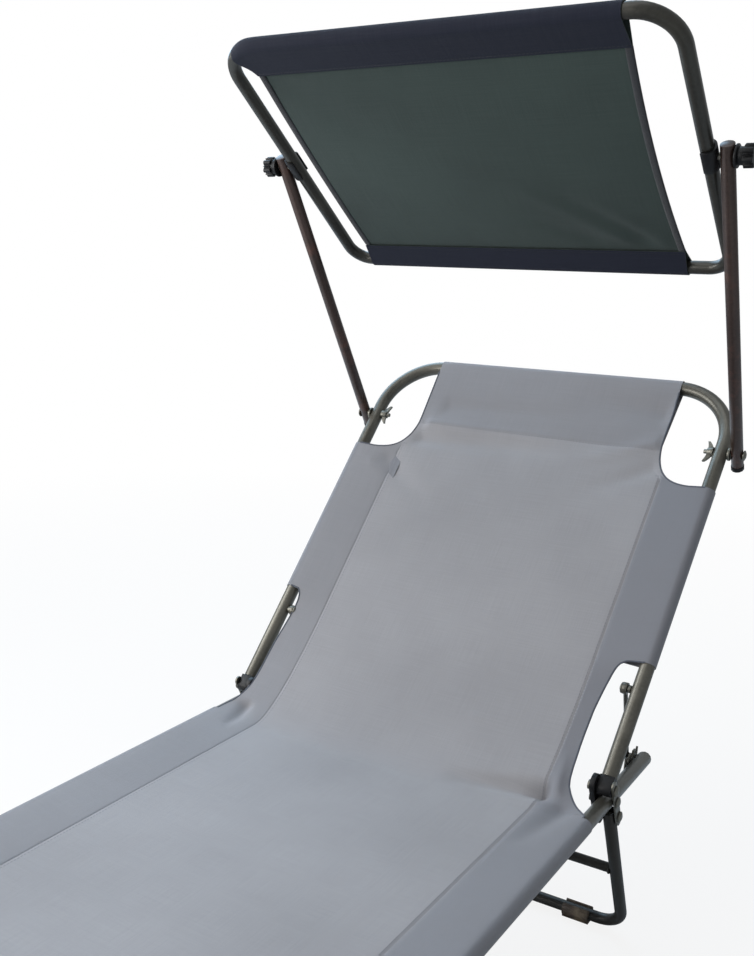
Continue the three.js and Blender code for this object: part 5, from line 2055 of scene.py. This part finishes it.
    def _stitches(self, sheet: bpy.types.Object) -> bpy.types.Object:
        """Sews both hems.

        Args:
            sheet: the sheet.

        Returns:
            The stitches.
        """
        work = Stitching(Surface(sheet))
        inset = self.seam_inset
        for s in (self.front - self.front_hem + inset, self.rear_hem - self.rear - inset):
            line = [CANOPY.at(self.left_edge + inset, s), CANOPY.at(self.right_edge - inset, s)]
            work.run(line, CANOPY.normal)
        return dress(work.build("canopy_stitches"), SHOP.hard(CANOPY_THREAD))


class Fittings:
    """The CAD nodes that stay, with rounded edges and their finishes."""

    COATS = {
        Coat.STEEL: ("knee_bracket", "seat_cross_tube", "stay"),
        Coat.ZINC: ("hip_strap", "hip_bolt", "rail_bolt", "rear_leg_bolt", "front_leg_bolt", "knee_bolt",
                    "stay_rack", "stay_bolt", "arm_bolt", "wing_nut", "canopy_joiner"),
        Coat.BLACK: ("rail_cap", "hip_block", "stay_knob", "arm_cap", "canopy_clamp", "backrest_eye"),
        Coat.PAD: ("rear_leg_pad", "front_leg_pad"),
    }
    EDGE = 0.35 * MM

    def build(self) -> None:
        """Dresses each of them."""
        for coat, stems in self.COATS.items():
            for stem in stems:
                names = [n for n in (stem, f"{stem}_left", f"{stem}_right") if n in frame["nodes"]]
                for name in names:
                    self._dress(frame["nodes"][name], coat)
                LOG.info("%s: %d nodes in %s", stem, len(names), coat.value)

    def _dress(self, node: bpy.types.Object, coat: Coat) -> None:
        """Rounds a node's edges and gives it its finish.

        Args:
            node: the CAD node's object.
            coat: its material slot.
        """
        weld = node.modifiers.new("weld", "WELD")
        weld.merge_threshold = WELD_GAP
        bevel(node, self.EDGE)
        dress(node, SHOP.hard(FINISHES[coat]))
        only(node)
        bpy.ops.object.shade_smooth_by_angle(angle=math.radians(SMOOTH_ANGLE))


# Studio


@dataclass(frozen=True)
class CameraSizes:
    """Where the photograph was taken from, measured from the hip joint."""

    place: tuple[float, float, float] = (0.6274, -1.1226, 0.5980)
    azimuth: float = 32.1
    elevation: float = 18.2
    roll: float = 1.4
    focal: float = 1072.5
    width: float = 754.0
    height: float = 956.0
    centre: tuple[float, float] = (362.1, 603.8)
    sensor: float = 36.0
    far: float = 60.0


@dataclass(frozen=True)
class Lamp:
    """A soft square lamp that faces the lounger, its power in watts."""

    name: str
    place: tuple[float, float, float]
    size: float
    power: float
    colour: tuple[float, float, float]


class Studio:
    """The camera, the lights, the floor and the white surroundings."""

    LAMPS = (
        Lamp("key", (-1.5, -1.8, 1.05), 1.1, 30.0, (1.0, 0.98, 0.955)),
        Lamp("left", (-1.3, -0.1, 1.1), 0.8, 12.0, (0.97, 0.985, 1.0)),
        Lamp("far", (-1.6, -2.2, 3.6), 2.6, 26.0, (1.0, 0.985, 0.96)),
        Lamp("top", (-0.6, -0.2, 4.2), 3.0, 26.0, (0.95, 0.97, 1.0)),
        Lamp("sky", (-1.9, 1.9, 2.6), 2.6, 72.0, (0.5, 0.75, 1.0)),
        Lamp("fill", (2.6, -2.8, 1.6), 2.2, 2.0, (1.0, 0.99, 0.98)),
    )
    AIM = (0.0, 0.1, 0.5)
    WHITE = (1.0, 1.0, 1.0, 1.0)
    FLOOR_SIZE, FLOOR_ROUGHNESS, FLOOR_COLOUR = 24.0, 0.9, (0.6, 0.6, 0.6, 1.0)
    GLOW_RANGE, GLOW_SHARES = (1.0, 3.5), (0.86, 1.0)
    SOFT_COLOUR, SOFT_STRENGTH = (0.9, 0.95, 1.0, 1.0), 0.46

    def __init__(self, camera: CameraSizes = CameraSizes()) -> None:
        """Args:
            camera: the photograph's view.
        """
        self.camera = camera

    def build(self) -> None:
        """Sets the studio up."""
        self._camera()
        self._floor()
        self._world()
        for lamp in self.LAMPS:
            self._hang(lamp)
        bpy.context.scene.view_settings.view_transform = "Standard"

    def _camera(self) -> None:
        """Places the camera."""
        view = self.camera
        a, e, r = (math.radians(v) for v in (view.azimuth, view.elevation, view.roll))
        back = Vector((math.sin(a) * math.cos(e), -math.cos(a) * math.cos(e), math.sin(e)))
        right = Vector((math.cos(a), math.sin(a), 0.0))
        up = back.cross(right)
        across = right * math.cos(r) + up * math.sin(r)
        upright = up * math.cos(r) - right * math.sin(r)
        turn = Matrix((across, upright, back)).transposed().to_4x4()
        lens = bpy.data.cameras.new("camera")
        lens.sensor_fit = "VERTICAL"
        lens.sensor_height = view.sensor
        lens.lens = view.focal * lens.sensor_height / view.height
        longest = max(view.width, view.height)
        lens.shift_x = (view.width / 2 - view.centre[0]) / longest
        lens.shift_y = (view.centre[1] - view.height / 2) / longest
        lens.clip_end = view.far
        body = bpy.data.objects.new("camera", lens)
        body.matrix_world = Matrix.Translation(HIP + Vector(view.place)) @ turn
        bpy.context.scene.collection.objects.link(body)
        bpy.context.scene.camera = body

    def _hang(self, lamp: Lamp) -> None:
        """Hangs a lamp.

        Args:
            lamp: its place and light.
        """
        light = bpy.data.lights.new(lamp.name, "AREA")
        light.size = lamp.size
        light.energy = lamp.power
        light.color = lamp.colour
        body = bpy.data.objects.new(lamp.name, light)
        body.visible_camera = False
        body.location = lamp.place
        way = Vector(self.AIM) - Vector(lamp.place)
        body.rotation_euler = way.to_track_quat("-Z", "Y").to_euler()
        bpy.context.scene.collection.objects.link(body)

    def _floor(self) -> None:
        """Lays the pale floor, which keeps the lounger's shadow."""
        start_clean()
        bpy.ops.mesh.primitive_plane_add(size=self.FLOOR_SIZE, location=(0.0, 0.0, 0.0))
        floor = bpy.context.object
        floor.name = "floor"
        material = bpy.data.materials.new("floor")
        material.use_nodes = True
        graph = Graph(material.node_tree)
        shader = graph.find("BSDF_PRINCIPLED")
        shader.inputs["Base Color"].default_value = self.FLOOR_COLOUR
        shader.inputs["Roughness"].default_value = self.FLOOR_ROUGHNESS
        glow = graph.add("ShaderNodeEmission")
        glow.inputs["Color"].default_value = self.WHITE
        seen = graph.add("ShaderNodeLightPath").outputs["Is Camera Ray"]
        place = graph.add("ShaderNodeTexCoord").outputs["Object"]
        away = graph.add("ShaderNodeVectorMath", operation="LENGTH")
        graph.link(place, away.inputs[0])
        bright = graph.span(away.outputs["Value"], *self.GLOW_RANGE, *self.GLOW_SHARES)
        share = graph.maths("MULTIPLY", seen, bright)
        graph.blend(share, shader, glow, graph.find("OUTPUT_MATERIAL"))
        floor.data.materials.append(material)

    def _world(self) -> None:
        """Surrounds the lounger with white for the camera and soft grey for its light."""
        world = bpy.data.worlds.new("surroundings")
        world.use_nodes = True
        bpy.context.scene.world = world
        graph = Graph(world.node_tree)
        soft = graph.find("BACKGROUND")
        soft.inputs["Color"].default_value = self.SOFT_COLOUR
        soft.inputs["Strength"].default_value = self.SOFT_STRENGTH
        white = graph.add("ShaderNodeBackground")
        white.inputs["Color"].default_value = self.WHITE
        path = graph.add("ShaderNodeLightPath")
        seen = graph.maths("MAXIMUM", path.outputs["Is Camera Ray"], path.outputs["Is Transmission Ray"])
        graph.blend(seen, soft, white, graph.find("OUTPUT_WORLD"))


def main() -> None:
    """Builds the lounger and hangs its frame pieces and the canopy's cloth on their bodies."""
    logging.basicConfig(level=logging.INFO, format="%(name)s: %(message)s")
    Studio().build()
    SeatFrame().build()
    Backrest().build()
    FootSection().build()
    LegPair("rear_leg", REAR_LEG, "rear_leg").build()
    LegPair("front_leg", FRONT_LEG, "front_leg").build()
    CanopyArms().build()
    StarKnob().build()
    Canopy().build()
    sling = SlingMaker()
    sling.head()
    sling.foot()
    Fittings().build()


if __name__ == "__main__":
    main()
